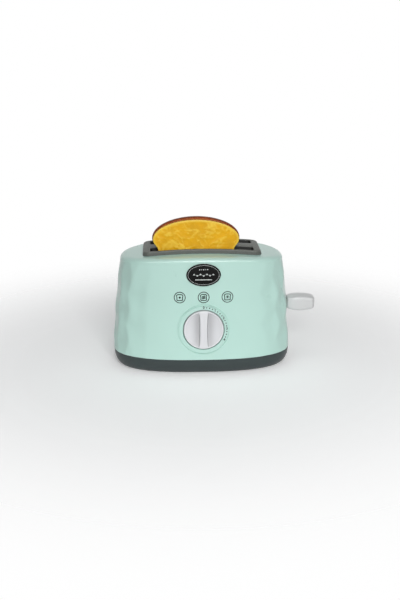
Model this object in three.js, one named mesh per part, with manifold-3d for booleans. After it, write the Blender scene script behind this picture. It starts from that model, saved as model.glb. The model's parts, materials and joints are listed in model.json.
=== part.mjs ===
// Toy toaster: a plastic shell on a tray, two bread slots, a push-down lever that lowers a slice of
// toast against two springs, and a wind-up timer knob whose cam holds the carriage down.
// Millimetres. X runs to the lever side, -Y to the knob side, +Z up. The origin is the middle of the
// flat underside.

import * as THREE from 'three';
import { mergeVertices } from 'three/addons/utils/BufferGeometryUtils.js';
import Module from 'manifold-3d';

const wasm = await Module();
wasm.setup();

// Fits and cutters
const seatGap = 0.3;            // between pieces that are seated on each other
const runningGap = 0.4;         // round a shaft or beside a sliding piece
const overrun = 6;              // how far a cutter passes the faces that it cuts
const weldDistance = 0.0004;
const roundSides = 14;          // of bars, bosses and their holes
const fineSides = 10;           // of screws and small arbors
const wideSides = 36;           // of the knob and the pad behind it

// Body shell
const bodyEndRoom = 39;         // from the end of a slot to the end of the body
const wallExcess = 15.9;        // of the wall's height over the toast's
const shellWall = 2.3;
const outlinePower = 2.55;      // superellipse exponent of the plan
const taperShare = 0.097;       // share of the width that is lost from the seam to the shoulder
const taperLinearShare = 0.32;  // share of that taper which is straight, the rest is curved
const crownDrop = 6.6;          // how much lower the shell's ends are than the middle of the top
const shoulderRise = 3.85;
const shoulderInset = 7;
const shoulderInsetShares = [0.2, 0.52, 1];
const shoulderRiseShares = [0.5, 0.82, 1];
const facetDepth = 1.5;         // between the highest and the lowest corners of the facets
const facetRaisedShare = 0.3;   // share of that depth which stands proud of the plain outline
const facetLevels = 3;
const facetStartShare = 0.64;   // share of the half length where the plain front ends
const frontColumns = 12;
const endColumns = 10;
const facetRows = 6;
const insideLevelShares = [0, 0.35, 0.7, 1];

// Base tray
const trayHeight = 16;          // up to the seam
const trayFloor = 2.3;
const trayWall = 2.2;
const trayTurnIn = 9;           // how far the lower edge is rounded in
const trayInsetShares = [1, 0.62, 0.34, 0.13, 0.03];
const trayHeightShares = [0, 0.1, 0.28, 0.56, 1];
const lipHeight = 3;
const lipThickness = 1.4;
const plateSeatHeight = 5.5;    // of the ribs that hold the end plates
const plateSeatLength = 3;
const plateSeatDepth = 14;

// Bread slots and the liner round them
const slotLength = 102;
const slotWidth = 14.5;
const slotPitch = 28.5;
const slotCorner = 2.5;
const linerMargin = 0.5;        // liner wall behind the edge of its slot
const panelThickness = 1.2;
const endPlateThickness = 2;
const endPlateMargin = 0.8;     // of an end plate beyond the outer panels
const linerFloorThickness = 1.6;
const linerFloorDrop = 5;       // below the lowered shelves

// Top bezel
const bezelRim = 7.5;           // from the end of a slot to the end of the bezel
const bezelSideRim = 3.6;       // from a slot's side to the side of the bezel
const bezelCorner = 7;
const bezelRise = 4.2;          // above the shell's top
const bezelChamfer = 1.6;
const bezelDraftShare = 0.33;   // of the chamfer, that the sides lean in
const bezelStations = 8;
const bezelArcSteps = 3;
const sleeveDepth = 6;          // of the part that passes through the shell
const sleeveInset = 2.4;        // the sleeve behind the bezel's edge
const hookReach = 1.3;
const hookLength = 8;
const hookHeight = 2.2;

// Toast
const toastWidth = 84.3;
const toastHeight = 82;
const toastPop = 30.4;          // above the bezel, popped up
const toastShift = 6;           // towards the end away from the lever
const neckWidth = 74.2;
const domeHeight = 17.3;        // from the widest level to the top of the pale face
const neckDrop = 11.4;          // from the widest level to the neck
const neckCurveShares = [0.4, 0.5];
const footWidth = 76.4;
const footCorner = 6;
const faceThickness = 3.6;
const faceBevel = 0.8;
const crustThickness = 7.6;
const crustBevel = 1.8;
const crustRise = 2.4;          // of the crust above the pale face

// Carriage
const leverTravel = 30;
const shelfThickness = 2.5;
const shelfWidth = 9;
const armWidth = 5;             // of a shelf where it passes the end plate
const sliderGap = 3.5;          // between end plate and slider
const sliderLength = 14;
const sliderHeight = 14;
const sliderRearReach = 20;     // from the middle plane to the rear end of the slider
const crossbarLength = 10;
const crossbarHeight = 10;
const shelfEndGap = 1.2;        // between a shelf's wide part and the end plate
const armEndInset = 4;          // the shelf arm's end behind the slider's outer face
const shelfScrewInset = 5;      // from the slider's inner face
const rodRadius = 2;
const rodSpread = 16;
const bracketHeight = 6;
const bracketWidth = 26;
const bracketDrop = 6;          // below the top of the end plate
const socketDepth = 4;
const socketWall = 2.4;
const socketHeight = 5.8;       // of the tray's sockets above its floor
const stemWidth = 5;
const stemHeight = 7;
const stemDrop = 4.25;          // below the top of the slider
const stemReach = 12;           // into the lever knob

// Lever knob
const leverLength = 28.2;
const leverHeight = 15.4;
const leverDepth = 18.6;
const leverRootHeight = 11.6;
const leverEndHeight = 11;
const leverRootDepth = 15;
const leverEndDepth = 16.6;
const leverEndCorner = 2.2;
const leverBevel = 1.2;
const channelDepth = 0.9;       // of the flat that the lever slides along
const channelMargin = 1.3;
const leverRunGap = 0.8;
const leverBulgeShare = 0.42;   // where the lever knob is thickest, from its root

// Lift springs
const springWire = 0.9;
const springCurls = 10;
const springRodGap = 0.6;
const springSteps = 8;
const springSides = 5;

// Catch
const catchArmHeight = 3.4;
const catchArmInset = 3.5;      // below the top of the slider
const catchClearance = 1.2;     // between cam and catch arm, above and below
const catchSideGap = 0.6;       // between the cam's flat and the arm's tip
const camRadius = 22;
const camThickness = 1.7;
const camLinerGap = 2.1;
const catchScrewSpread = 7;

// Timer, from the liner to the front
const timerGap = 0.7;           // between one layer of the timer and the next
const plateThickness = 1.5;
const wheelThickness = 1.5;
const mainGearThickness = 2;
const mainspringHeight = 3.5;
const timerFrontRoom = 5.4;     // from the front plate to the shell's inside at the knob
const gearModule = 0.75;
const mainTeeth = 48;
const wheelPinionTeeth = 12;
const wheelTeeth = 40;
const flyPinionTeeth = 10;
const flyAngle = Math.PI / 3;   // from the wheel's arbor to the fly's, above the horizontal
const toothTipShare = 0.8;      // of the module, above the pitch circle
const toothRootShare = 1.25;    // of the module, below the pitch circle
const toothTipWidthShare = 0.22; // of the pitch, as is the next
const toothRootWidthShare = 0.56;
const gearWindowShare = 0.2;    // of the main gear's radius
const gearBackOff = 0.12;       // added to the centre distances
const arborRadius = 3;
const knobStubRadius = 2;
const knobStubLength = 4.4;
const smallArborRadius = 1;
const plateMargin = 3.4;
const plateHeight = 52;
const plateCorner = 4;
const pillarInset = 4.5;
const pillarRadius = 3;
const mainspringInner = 3.8;
const mainspringOuter = 12;
const mainspringStrip = 0.4;
const mainspringTurns = 6;
const mainspringSteps = 16;     // to a turn
const springPinRadius = 1;
const flyRadius = 7.2;
const flyBladeThickness = 1;
const flyBladeHeight = 3.2;
const flyHubRadius = 1.6;

// Knob
const knobRadius = 19.75;
const knobTaper = 0.3;
const knobRimHeight = 5.4;
const knobHeight = 6.6;
const knobEdge = 0.8;
const knobBarWidth = 7.5;
const knobBarFoot = 1.5;        // height of the scoops' floor beside the bar
const knobBarSoftness = 1.2;
const knobRimWidth = 1.2;
const knobWallGap = 0.5;        // behind the knob, in its recess
const recessDepth = 4.6;        // of the round recess in the pad, which the knob sits in
const recessGap = 0.85;         // round the knob
const recessWall = 1.6;
const landRadius = 24.8;        // flat round pad on the shell behind the knob
const landRise = 0.2;           // in front of the shell at the knob's axis

// Badge
const badgeWidth = 33.2;
const badgeHeight = 22;
const badgeThickness = 1.3;
const badgeBevel = 0.3;
const badgeDrop = 11.9;         // its middle below the start of the shoulder

// Screws
const screwRadius = 1.5;
const screwHeadRadius = 2.7;
const screwHeadHeight = 1.8;
const driveReachShare = 0.6;    // of the head's radius, as is the next
const driveWidthShare = 0.14;
const smallScrewRadius = 1.1;
const smallScrewHeadRadius = 2.1;
const smallScrewHeadHeight = 1.2;
const smallScrewLength = 8;
const baseScrewXShare = 0.556;  // of the half length
const baseScrewYShare = 0.592;  // of the half depth
const bossRadius = 4.5;
const bossHeight = 12;          // above the seam
const bossRib = 2.4;
const baseScrewSink = 0.8;      // heads behind the underside
const baseScrewBite = 10;       // into the shell's boss
const timerScrewBite = 3;

// Levels, from the top down. The wall runs from the seam to the start of the shoulder.
const wallHeight = toastHeight + wallExcess;
const crownTop = trayHeight + wallHeight + shoulderRise;
const bezelTop = crownTop + bezelRise;
const toastTop = bezelTop + toastPop;
const toastBottom = toastTop - toastHeight;
const shelfTop = toastBottom - seatGap;
const shelfBottom = shelfTop - shelfThickness;
const sliderTop = shelfBottom - seatGap;
const sliderBottom = sliderTop - sliderHeight;
const stemTop = sliderTop - stemDrop;
const leverLevel = stemTop - stemHeight / 2;
const catchArmTop = sliderTop - catchArmInset;
const catchArmBottom = catchArmTop - catchArmHeight;
const camHalfChord = (leverTravel - catchArmHeight) / 2 - catchClearance;
const knobLevel = catchArmBottom - catchClearance - camHalfChord;
const linerFloorTop = shelfBottom - leverTravel - linerFloorDrop;
const sleeveBottom = crownTop - sleeveDepth;
const endPlateTop = sleeveBottom - seatGap;

// Places along Y, from the middle to the front. Each is the rear face of its layer.
const linerHalfDepth = slotPitch / 2 + slotWidth / 2 + linerMargin + panelThickness;
const camRear = -linerHalfDepth - camLinerGap;
const camFront = camRear - camThickness;
const rearPlateRear = camFront - timerGap;
const rearPlateFront = rearPlateRear - plateThickness;
const wheelRear = rearPlateFront - timerGap;
const wheelFront = wheelRear - wheelThickness;
const mainGearRear = wheelFront - timerGap;
const mainGearFront = mainGearRear - mainGearThickness;
const mainspringRear = mainGearFront - timerGap;
const mainspringFront = mainspringRear - mainspringHeight;
const frontPlateRear = mainspringFront - timerGap;
const frontPlateFront = frontPlateRear - plateThickness;
const shellFrontAtKnob = frontPlateFront - timerFrontRoom - shellWall;

// Places along X, from the middle to the ends
const halfLength = slotLength / 2 + bodyEndRoom;
const linerHalfLength = slotLength / 2 + linerMargin;
const endPlateOuter = linerHalfLength + endPlateThickness;
const sliderInner = endPlateOuter + sliderGap;
const sliderOuter = sliderInner + sliderLength;
const rodX = sliderInner + sliderLength / 2;
const leftRodX = -(sliderInner + crossbarLength / 2);

// The shell narrows upwards. A level is given as the share of the wall's height above the seam.
function taperAt(levelShare) {
  const curved = (1 - taperLinearShare) * levelShare * levelShare;
  return 1 - taperShare * (taperLinearShare * levelShare + curved);
}

function levelShareAt(z) {
  return (z - trayHeight) / wallHeight;
}

const halfDepth = -shellFrontAtKnob / taperAt(levelShareAt(knobLevel));

function crownAt(x) {
  return crownDrop * (x / halfLength) ** 2;
}

function frontFaceAt(x, z) {
  const taper = taperAt(levelShareAt(z));
  const along = Math.min(1, Math.abs(x) / (halfLength * taper));
  return -halfDepth * taper * (1 - along ** outlinePower) ** (1 / outlinePower);
}

function endFaceAt(z) {
  return halfLength * taperAt(levelShareAt(z));
}

// Materials
function finish(colour, roughness, metalness = 0) {
  return new THREE.MeshStandardMaterial({ color: colour, roughness, metalness });
}

const mintPlastic = finish(0xbfe3d8, 0.28);
const slatePlastic = finish(0x434b4e, 0.42);
const bezelPlastic = finish(0x555852, 0.5);
const badgeBlack = finish(0x16181a, 0.35);
const knobWhite = finish(0xe2e2e4, 0.35);
const leverWhite = finish(0xf0f0ef, 0.3);
const toastYellow = finish(0xdcb13c, 0.45);
const crustBrown = finish(0x5a2a18, 0.3);
const linerPlastic = finish(0x2e3133, 0.6);
const innerPlastic = finish(0xd9d6cc, 0.5);
const gearPlastic = finish(0xf2efe6, 0.45);
const steel = finish(0xb9bdc1, 0.3, 1);
const springSteel = finish(0x9a9ea3, 0.35, 1);

// Solids
function weld(geometry) {
  const bare = geometry.clone();
  for (const name of Object.keys(bare.attributes)) {
    if (name !== 'position') bare.deleteAttribute(name);
  }
  const merged = mergeVertices(bare, weldDistance);
  const kept = [];
  const corners = merged.index.array;
  for (let i = 0; i < corners.length; i += 3) {
    const [a, b, c] = [corners[i], corners[i + 1], corners[i + 2]];
    if (a !== b && b !== c && c !== a) kept.push(a, b, c);
  }
  merged.setIndex(kept);
  return merged;
}

function solidOf(geometry) {
  const welded = weld(geometry);
  return new wasm.Manifold(new wasm.Mesh({
    numProp: 3,
    vertProperties: new Float32Array(welded.attributes.position.array),
    triVerts: new Uint32Array(welded.index.array),
  }));
}

function geometryOf(solid) {
  const mesh = solid.getMesh();
  const geometry = new THREE.BufferGeometry();
  geometry.setAttribute('position', new THREE.BufferAttribute(mesh.vertProperties, 3));
  geometry.setIndex(new THREE.BufferAttribute(mesh.triVerts, 1));
  return geometry;
}

function join(first, ...others) {
  return others.reduce((sum, solid) => sum.add(solid), first);
}

function cut(first, ...others) {
  return others.reduce((rest, solid) => rest.subtract(solid), first);
}

const toaster = new THREE.Group();

function place(name, shape, material, position = [0, 0, 0]) {
  const geometry = shape.isBufferGeometry ? weld(shape) : geometryOf(shape);
  geometry.computeVertexNormals();
  const mesh = new THREE.Mesh(geometry, material);
  mesh.name = name;
  mesh.position.set(...position);
  toaster.add(mesh);
  return mesh;
}

// A block between two opposite corners
function block(low, high) {
  const size = high.map((value, i) => value - low[i]);
  const geometry = new THREE.BoxGeometry(...size);
  geometry.translate(...high.map((value, i) => (value + low[i]) / 2));
  return solidOf(geometry);
}

// A round bar along Z or along Y, between two places on that axis
function barZ(x, y, from, to, radius, sides = roundSides) {
  const geometry = new THREE.CylinderGeometry(radius, radius, to - from, sides);
  geometry.rotateX(Math.PI / 2);
  geometry.translate(x, y, (from + to) / 2);
  return solidOf(geometry);
}

function barY(x, z, from, to, radius, sides = roundSides) {
  const geometry = new THREE.CylinderGeometry(radius, radius, to - from, sides);
  geometry.translate(x, (from + to) / 2, z);
  return solidOf(geometry);
}

// A plan outline raised along Z
function raised(shape, from, to, curveSegments = 6) {
  const options = { depth: to - from, bevelEnabled: false, curveSegments };
  const geometry = new THREE.ExtrudeGeometry(shape, options);
  geometry.translate(0, 0, from);
  return solidOf(geometry);
}

// An outline seen from the front, drawn in X and Z, made thick along Y
function upright(shape, rear, front, options = {}) {
  const bevel = options.bevel ?? 0;
  const geometry = new THREE.ExtrudeGeometry(shape, {
    depth: rear - front - 2 * bevel,
    bevelEnabled: bevel > 0,
    bevelThickness: bevel,
    bevelSize: bevel,
    bevelOffset: -bevel,
    bevelSegments: options.bevelSegments ?? 1,
    curveSegments: options.curveSegments ?? 6,
  });
  geometry.rotateX(Math.PI / 2);
  geometry.translate(0, rear - bevel, 0);
  return geometry;
}

function roundedRectangle(halfX, halfY, corner, centreX = 0, centreY = 0) {
  const shape = new THREE.Shape();
  const [left, right] = [centreX - halfX, centreX + halfX];
  const [low, high] = [centreY - halfY, centreY + halfY];
  shape.moveTo(left + corner, low);
  shape.lineTo(right - corner, low);
  shape.absarc(right - corner, low + corner, corner, -Math.PI / 2, 0, false);
  shape.lineTo(right, high - corner);
  shape.absarc(right - corner, high - corner, corner, 0, Math.PI / 2, false);
  shape.lineTo(left + corner, high);
  shape.absarc(left + corner, high - corner, corner, Math.PI / 2, Math.PI, false);
  shape.lineTo(left, low + corner);
  shape.absarc(left + corner, low + corner, corner, Math.PI, 1.5 * Math.PI, false);
  return shape;
}

function circleHole(x, y, radius) {
  const hole = new THREE.Path();
  hole.absarc(x, y, radius, 0, 2 * Math.PI, true);
  return hole;
}

// The body's plan outline is walked in columns from the tip away from the lever, along the front, round
// the lever end and along the back. A place between two columns has a fractional number.
const columnCount = 2 * (frontColumns + endColumns);
const endStartAngle = Math.acos(facetStartShare ** (outlinePower / 2));

function roundPower(value) {
  return Math.sign(value) * Math.abs(value) ** (2 / outlinePower);
}

// Columns counted from the start of the plain front or of the plain back, and which of the two it is
function alongSide(column) {
  const counted = (column - endColumns / 2 + columnCount) % columnCount;
  const side = counted >= frontColumns + endColumns ? -1 : 1;
  return [counted % (frontColumns + endColumns), side];
}

function outlineShareAt(column) {
  const [along, side] = alongSide(column);
  if (along <= frontColumns) {
    const x = facetStartShare * (2 * along / frontColumns - 1);
    const y = -((1 - Math.abs(x) ** outlinePower) ** (1 / outlinePower));
    return [side * x, side * y];
  }
  const angle = endStartAngle * (2 * (along - frontColumns) / endColumns - 1);
  return [side * roundPower(Math.cos(angle)), side * roundPower(Math.sin(angle))];
}

// One ring of the body's outline, as points
function bodyRing({ levelShare, inset = 0, lift = 0, shift = 0, relief = () => 0 }) {
  const taper = taperAt(levelShare);
  const points = [];
  for (let column = 0; column < columnCount; column += 1) {
    const [shareX, shareY] = outlineShareAt(column + shift);
    const depth = inset + relief(column);
    const steep = outlinePower - 1;
    const normal = new THREE.Vector2(
      Math.sign(shareX) * Math.abs(shareX) ** steep / halfLength,
      Math.sign(shareY) * Math.abs(shareY) ** steep / halfDepth,
    ).normalize();
    const x = halfLength * taper * shareX - normal.x * depth;
    const y = halfDepth * taper * shareY - normal.y * depth;
    const z = trayHeight + wallHeight * levelShare - crownAt(x) * levelShare + lift;
    points.push([x, y, z]);
  }
  return { points, shifted: shift !== 0 };
}

// A closed body through rings of equal count that start at the tip away from the lever. The lowest and
// the highest ring are mirrored front to back, and are closed in strips between their two sides.
function stackRings(rings) {
  const count = rings[0].points.length;
  const positions = rings.flatMap((ring) => ring.points.flat());
  const index = [];
  for (let level = 0; level + 1 < rings.length; level += 1) {
    const below = level * count;
    const above = below + count;
    for (let column = 0; column < count; column += 1) {
      const next = (column + 1) % count;
      if (rings[level].shifted) {
        index.push(below + column, below + next, above + next);
        index.push(below + column, above + next, above + column);
      } else {
        index.push(below + column, below + next, above + column);
        index.push(below + next, above + next, above + column);
      }
    }
  }
  const last = (rings.length - 1) * count;
  for (let column = 0; column < count / 2; column += 1) {
    const front = [column, column + 1];
    const back = [(count - column) % count, count - column - 1];
    index.push(back[0], back[1], front[1], back[0], front[1], front[0]);
    index.push(last + front[0], last + front[1], last + back[1]);
    index.push(last + front[0], last + back[1], last + back[0]);
  }
  const geometry = new THREE.BufferGeometry();
  geometry.setAttribute('position', new THREE.Float32BufferAttribute(positions, 3));
  geometry.setIndex(index);
  return solidOf(geometry);
}

// Rings of the shoulder, from the wall to the flat of the top
function shoulderRings(extraInset, drop) {
  return shoulderInsetShares.map((share, i) => bodyRing({
    levelShare: 1,
    inset: extraInset + shoulderInset * share,
    lift: shoulderRise * shoulderRiseShares[i] - drop,
  }));
}

// Low facets round both ends: the three corners of each facet stand at three levels. They stay plain
// where the lever's channel is cut.
function facetRelief(row) {
  if (row === 0 || row === facetRows) return () => 0;
  const half = row % 2 === 0 ? 0 : 0.5;
  return (column) => {
    const [along, side] = alongSide(column + half);
    const fromTip = Math.abs(along - frontColumns - endColumns / 2);
    if (along <= frontColumns || (side > 0 && fromTip < 1)) return 0;
    const steps = Math.floor(along) + side - Math.floor(row / 2) - row;
    const level = (steps + facetLevels * facetRows) % facetLevels;
    return -facetDepth * (facetRaisedShare - level / (facetLevels - 1));
  };
}

function shellOutside() {
  const rings = [];
  for (let row = 0; row <= facetRows; row += 1) {
    rings.push(bodyRing({
      levelShare: row / facetRows,
      shift: row % 2 === 0 ? 0 : 0.5,
      relief: facetRelief(row),
    }));
  }
  return stackRings([...rings, ...shoulderRings(0, 0)]);
}

function shellInside() {
  const rings = insideLevelShares.map((levelShare) => bodyRing({ levelShare, inset: shellWall }));
  const below = bodyRing({ levelShare: 0, inset: shellWall, lift: -overrun });
  return stackRings([below, ...rings, ...shoulderRings(shellWall, shellWall)]);
}

// Places that several pieces share
const baseScrewX = baseScrewXShare * halfLength;
const baseScrewY = baseScrewYShare * halfDepth;
const cornerSigns = [[-1, -1], [1, -1], [1, 1], [-1, 1]];
const baseScrewPlaces = cornerSigns.map(([i, j]) => [i * baseScrewX, j * baseScrewY]);

const mainRadius = gearModule * mainTeeth / 2;
const wheelPinionRadius = gearModule * wheelPinionTeeth / 2;
const wheelRadius = gearModule * wheelTeeth / 2;
const flyPinionRadius = gearModule * flyPinionTeeth / 2;
const toothTip = gearModule * toothTipShare;
const wheelX = -(mainRadius + wheelPinionRadius + gearBackOff);
const wheelLevel = knobLevel;
const flyReach = wheelRadius + flyPinionRadius + gearBackOff;
const flyX = wheelX + flyReach * Math.cos(flyAngle);
const flyLevel = wheelLevel + flyReach * Math.sin(flyAngle);
const plateLeft = wheelX - wheelRadius - toothTip - plateMargin;
const plateRight = mainRadius + toothTip + plateMargin;
const pillarPlaces = [
  [plateLeft + pillarInset, knobLevel - plateHeight / 2 + pillarInset],
  [plateRight - pillarInset, knobLevel - plateHeight / 2 + pillarInset],
  [plateRight - pillarInset, knobLevel + plateHeight / 2 - pillarInset],
  [plateLeft + pillarInset, knobLevel + plateHeight / 2 - pillarInset],
];
const camFlat = Math.sqrt(camRadius ** 2 - camHalfChord ** 2);
const springPinPlace = [0, knobLevel - mainspringOuter - springPinRadius - seatGap];

const channelFloor = endFaceAt(leverLevel) - channelDepth;
const leverRoot = channelFloor + leverRunGap;
const leverEnd = leverRoot + leverLength;
const channelHalfDepth = leverDepth / 2 + channelMargin;
const channelBottom = leverLevel - leverRootHeight / 2 - leverTravel - channelMargin;
const channelTop = leverLevel + leverRootHeight / 2 + channelMargin;

const bezelHalfLength = slotLength / 2 + bezelRim;
const bezelHalfDepth = slotPitch / 2 + slotWidth / 2 + bezelSideRim;
const sleeveHalfLength = bezelHalfLength - sleeveInset;
const sleeveHalfDepth = bezelHalfDepth - sleeveInset;
const landFace = shellFrontAtKnob - landRise;
const recessFloor = landFace + recessDepth;
const recessRadius = knobRadius + recessGap;

function bodyShell() {
  const outside = shellOutside();
  const inside = shellInside();
  let shell = outside.subtract(inside);

  const bosses = baseScrewPlaces.map(([x, y]) => {
    const wallY = Math.sign(y) * halfDepth;
    const rib = block(
      [x - bossRib / 2, Math.min(y, wallY), trayHeight],
      [x + bossRib / 2, Math.max(y, wallY), trayHeight + bossHeight],
    );
    return join(barZ(x, y, trayHeight, trayHeight + bossHeight, bossRadius), rib).intersect(outside);
  });
  const timerBosses = pillarPlaces.map(([x, z]) => (
    barY(x, z, -halfDepth, frontPlateFront - seatGap, bossRadius).intersect(outside)
  ));
  const channelPad = block(
    [channelFloor - shellWall, -channelHalfDepth - shellWall, channelBottom - shellWall],
    [halfLength, channelHalfDepth + shellWall, channelTop + shellWall],
  ).intersect(outside);
  shell = join(shell, ...bosses, ...timerBosses, channelPad);

  const land = barY(0, knobLevel, landFace, shellFrontAtKnob + shellWall, landRadius, wideSides);
  const beyondLand = barY(0, knobLevel, landFace - overrun, landFace, landRadius, wideSides);
  const cup = barY(0, knobLevel, landFace, recessFloor + recessWall, recessRadius + recessWall, wideSides);
  const recess = barY(0, knobLevel, landFace - overrun, recessFloor, recessRadius, wideSides);
  shell = cut(shell.add(land).add(cup), beyondLand, recess);

  const topOpening = raised(
    roundedRectangle(sleeveHalfLength + seatGap, sleeveHalfDepth + seatGap, bezelCorner - sleeveInset),
    sleeveBottom - overrun,
    bezelTop,
  );
  const knobHole = barY(0, knobLevel, landFace - overrun, frontPlateFront, arborRadius + runningGap);
  const channel = block(
    [channelFloor, -channelHalfDepth, channelBottom],
    [halfLength + overrun, channelHalfDepth, channelTop],
  );
  const stemSlot = block(
    [channelFloor - overrun, -stemWidth / 2 - runningGap, stemTop - stemHeight - leverTravel - runningGap],
    [halfLength + overrun, stemWidth / 2 + runningGap, stemTop + runningGap],
  );
  const pilots = baseScrewPlaces.map(([x, y]) => (
    barZ(x, y, trayHeight - overrun, trayHeight + baseScrewBite + seatGap, screwRadius + seatGap, fineSides)
  ));
  const bossFace = frontPlateFront - seatGap;
  const timerPilots = pillarPlaces.map(([x, z]) => (
    barY(x, z, bossFace - timerScrewBite - seatGap, bossFace + overrun, screwRadius + seatGap, fineSides)
  ));
  return cut(shell, topOpening, knobHole, channel, stemSlot, ...pilots, ...timerPilots);
}

// Base tray: turned in at the bottom, a lip inside the shell, posts, sockets and the end plates' seats
function trayRing(height, inset) {
  return bodyRing({ levelShare: 0, inset, lift: height - trayHeight });
}

function baseTray() {
  const top = trayHeight - seatGap;
  const outside = stackRings(trayHeightShares.map((share, i) => (
    trayRing(top * share, trayTurnIn * trayInsetShares[i])
  )));
  const cavity = stackRings([
    trayRing(trayFloor, trayTurnIn + trayWall),
    trayRing(top * trayHeightShares[2], trayTurnIn * trayInsetShares[2] + trayWall),
    trayRing(top + overrun, trayTurnIn * trayInsetShares[4] + trayWall),
  ]);
  const lipOuter = shellWall + seatGap;
  const lip = cut(
    stackRings([trayRing(top - lipHeight, lipOuter), trayRing(top + lipHeight, lipOuter)]),
    stackRings([
      trayRing(top - lipHeight - overrun, lipOuter + lipThickness),
      trayRing(top + lipHeight + overrun, lipOuter + lipThickness),
    ]),
  );
  const lipNotches = baseScrewPlaces.map(([x, y]) => block(
    [x - bossRadius - runningGap, Math.min(0, Math.sign(y) * halfDepth), top],
    [x + bossRadius + runningGap, Math.max(0, Math.sign(y) * halfDepth), top + lipHeight + overrun],
  ));
  const posts = baseScrewPlaces.map(([x, y]) => barZ(x, y, trayFloor / 2, top, bossRadius));
  const sockets = [[rodX, -rodSpread / 2], [rodX, rodSpread / 2], [leftRodX, 0]].map(([x, y]) => cut(
    barZ(x, y, trayFloor / 2, trayFloor + socketHeight, rodRadius + seatGap + socketWall),
    barZ(x, y, trayFloor, trayFloor + socketHeight + overrun, rodRadius + seatGap),
  ));
  const seats = [-1, 1].flatMap((side) => {
    const inner = linerHalfLength - seatGap;
    const outer = endPlateOuter + seatGap;
    return [[inner - plateSeatLength, inner], [outer, outer + plateSeatLength]].map(([from, to]) => {
      const ends = [side * from, side * to].sort((a, b) => a - b);
      return block(
        [ends[0], -plateSeatDepth / 2, trayFloor / 2],
        [ends[1], plateSeatDepth / 2, trayFloor + plateSeatHeight],
      );
    });
  });
  const bores = baseScrewPlaces.flatMap(([x, y]) => [
    barZ(x, y, -overrun, top + overrun, screwRadius + seatGap, fineSides),
    barZ(x, y, -overrun, baseScrewSink + screwHeadHeight + seatGap, screwHeadRadius + seatGap),
  ]);
  const body = join(cut(outside, cavity), cut(lip, ...lipNotches));
  return cut(join(body, ...posts, ...sockets, ...seats), ...bores);
}

// Top bezel: a crowned frame round both slots, a sleeve through the shell and four hooks under it.
// First a ring of a crowned rounded rectangle, from the tip away from the lever along the front

function crownedRing(halfX, halfY, corner, height) {
  const arc = Array.from({ length: bezelArcSteps + 1 }, (_, i) => {
    const angle = (Math.PI / 2) * (i / bezelArcSteps);
    return [halfX - corner + corner * Math.sin(angle), -halfY + corner - corner * Math.cos(angle)];
  });
  const straight = Array.from({ length: bezelStations - 1 }, (_, i) => (
    [(halfX - corner) * (2 * (i + 1) / bezelStations - 1), -halfY]
  ));
  const front = [...arc.map(([x, y]) => [-x, y]).reverse(), ...straight, ...arc];
  const back = front.map(([x, y]) => [x, -y]).reverse();
  const ring = [[-halfX, 0], ...front, [halfX, 0], ...back];
  return { points: ring.map(([x, y]) => [x, y, height - crownAt(x)]), shifted: false };
}

function topBezel() {
  const foot = crownTop + seatGap;
  const edge = bezelTop - bezelChamfer;
  const slope = bezelChamfer * bezelDraftShare;
  const frame = stackRings([
    crownedRing(bezelHalfLength, bezelHalfDepth, bezelCorner, foot),
    crownedRing(bezelHalfLength - slope, bezelHalfDepth - slope, bezelCorner - slope, edge),
    crownedRing(
      bezelHalfLength - slope - bezelChamfer,
      bezelHalfDepth - slope - bezelChamfer,
      bezelCorner - slope - bezelChamfer,
      bezelTop,
    ),
  ]);
  const sleeve = raised(
    roundedRectangle(sleeveHalfLength, sleeveHalfDepth, bezelCorner - sleeveInset),
    sleeveBottom,
    crownTop + bezelRise / 4,
  );
  const hooks = [-1, 1].flatMap((end) => [-1, 1].map((side) => {
    const x = end * slotLength / 4;
    const ceiling = crownTop - crownAt(slotLength / 4 + hookLength / 2) - shellWall - seatGap;
    const reach = side * (sleeveHalfDepth + seatGap + hookReach);
    const root = side * (sleeveHalfDepth - hookReach / 2);
    return block(
      [x - hookLength / 2, Math.min(reach, root), ceiling - hookHeight],
      [x + hookLength / 2, Math.max(reach, root), ceiling],
    );
  }));
  const slots = [-1, 1].map((side) => raised(
    roundedRectangle(slotLength / 2, slotWidth / 2, slotCorner, 0, side * slotPitch / 2),
    sleeveBottom - overrun,
    bezelTop + overrun,
  ));
  return cut(join(frame, sleeve, ...hooks), ...slots);
}

// Liner: two end plates that carry the guide rods, four panels and a floor
const sideOfSlot = slotWidth / 2 + linerMargin;

function endPlate(side, rodPlaces) {
  const between = (from, to) => [side * from, side * to].sort((a, b) => a - b);
  const [low, high] = between(linerHalfLength, endPlateOuter);
  const halfPlate = linerHalfDepth + endPlateMargin;
  const plate = block([low, -halfPlate, trayFloor + seatGap], [high, halfPlate, endPlateTop]);
  const bracketTop = endPlateTop - bracketDrop;
  const reach = Math.abs(rodPlaces[0][0]) + rodRadius + seatGap + socketWall;
  const [bracketLow, bracketHigh] = between(linerHalfLength + endPlateThickness / 2, reach);
  const bracket = block(
    [bracketLow, -bracketWidth / 2, bracketTop - bracketHeight],
    [bracketHigh, bracketWidth / 2, bracketTop],
  );
  const sockets = rodPlaces.map(([x, y]) => barZ(
    x,
    y,
    bracketTop - bracketHeight - overrun,
    bracketTop - bracketHeight + socketDepth,
    rodRadius + seatGap,
  ));
  const [slotLow, slotHigh] = between(linerHalfLength - overrun, endPlateOuter + overrun);
  const armSlots = [-1, 1].map((row) => block(
    [slotLow, row * slotPitch / 2 - armWidth / 2 - runningGap, shelfBottom - leverTravel - runningGap],
    [slotHigh, row * slotPitch / 2 + armWidth / 2 + runningGap, shelfTop + seatGap],
  ));
  return cut(join(plate, bracket), ...sockets, ...armSlots.map((slot) => slot.subtract(bracket)));
}

function linerPanel(y, thickness) {
  return block(
    [-linerHalfLength + seatGap, Math.min(y, y + thickness), linerFloorTop + seatGap],
    [linerHalfLength - seatGap, Math.max(y, y + thickness), sleeveBottom - seatGap],
  );
}

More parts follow.
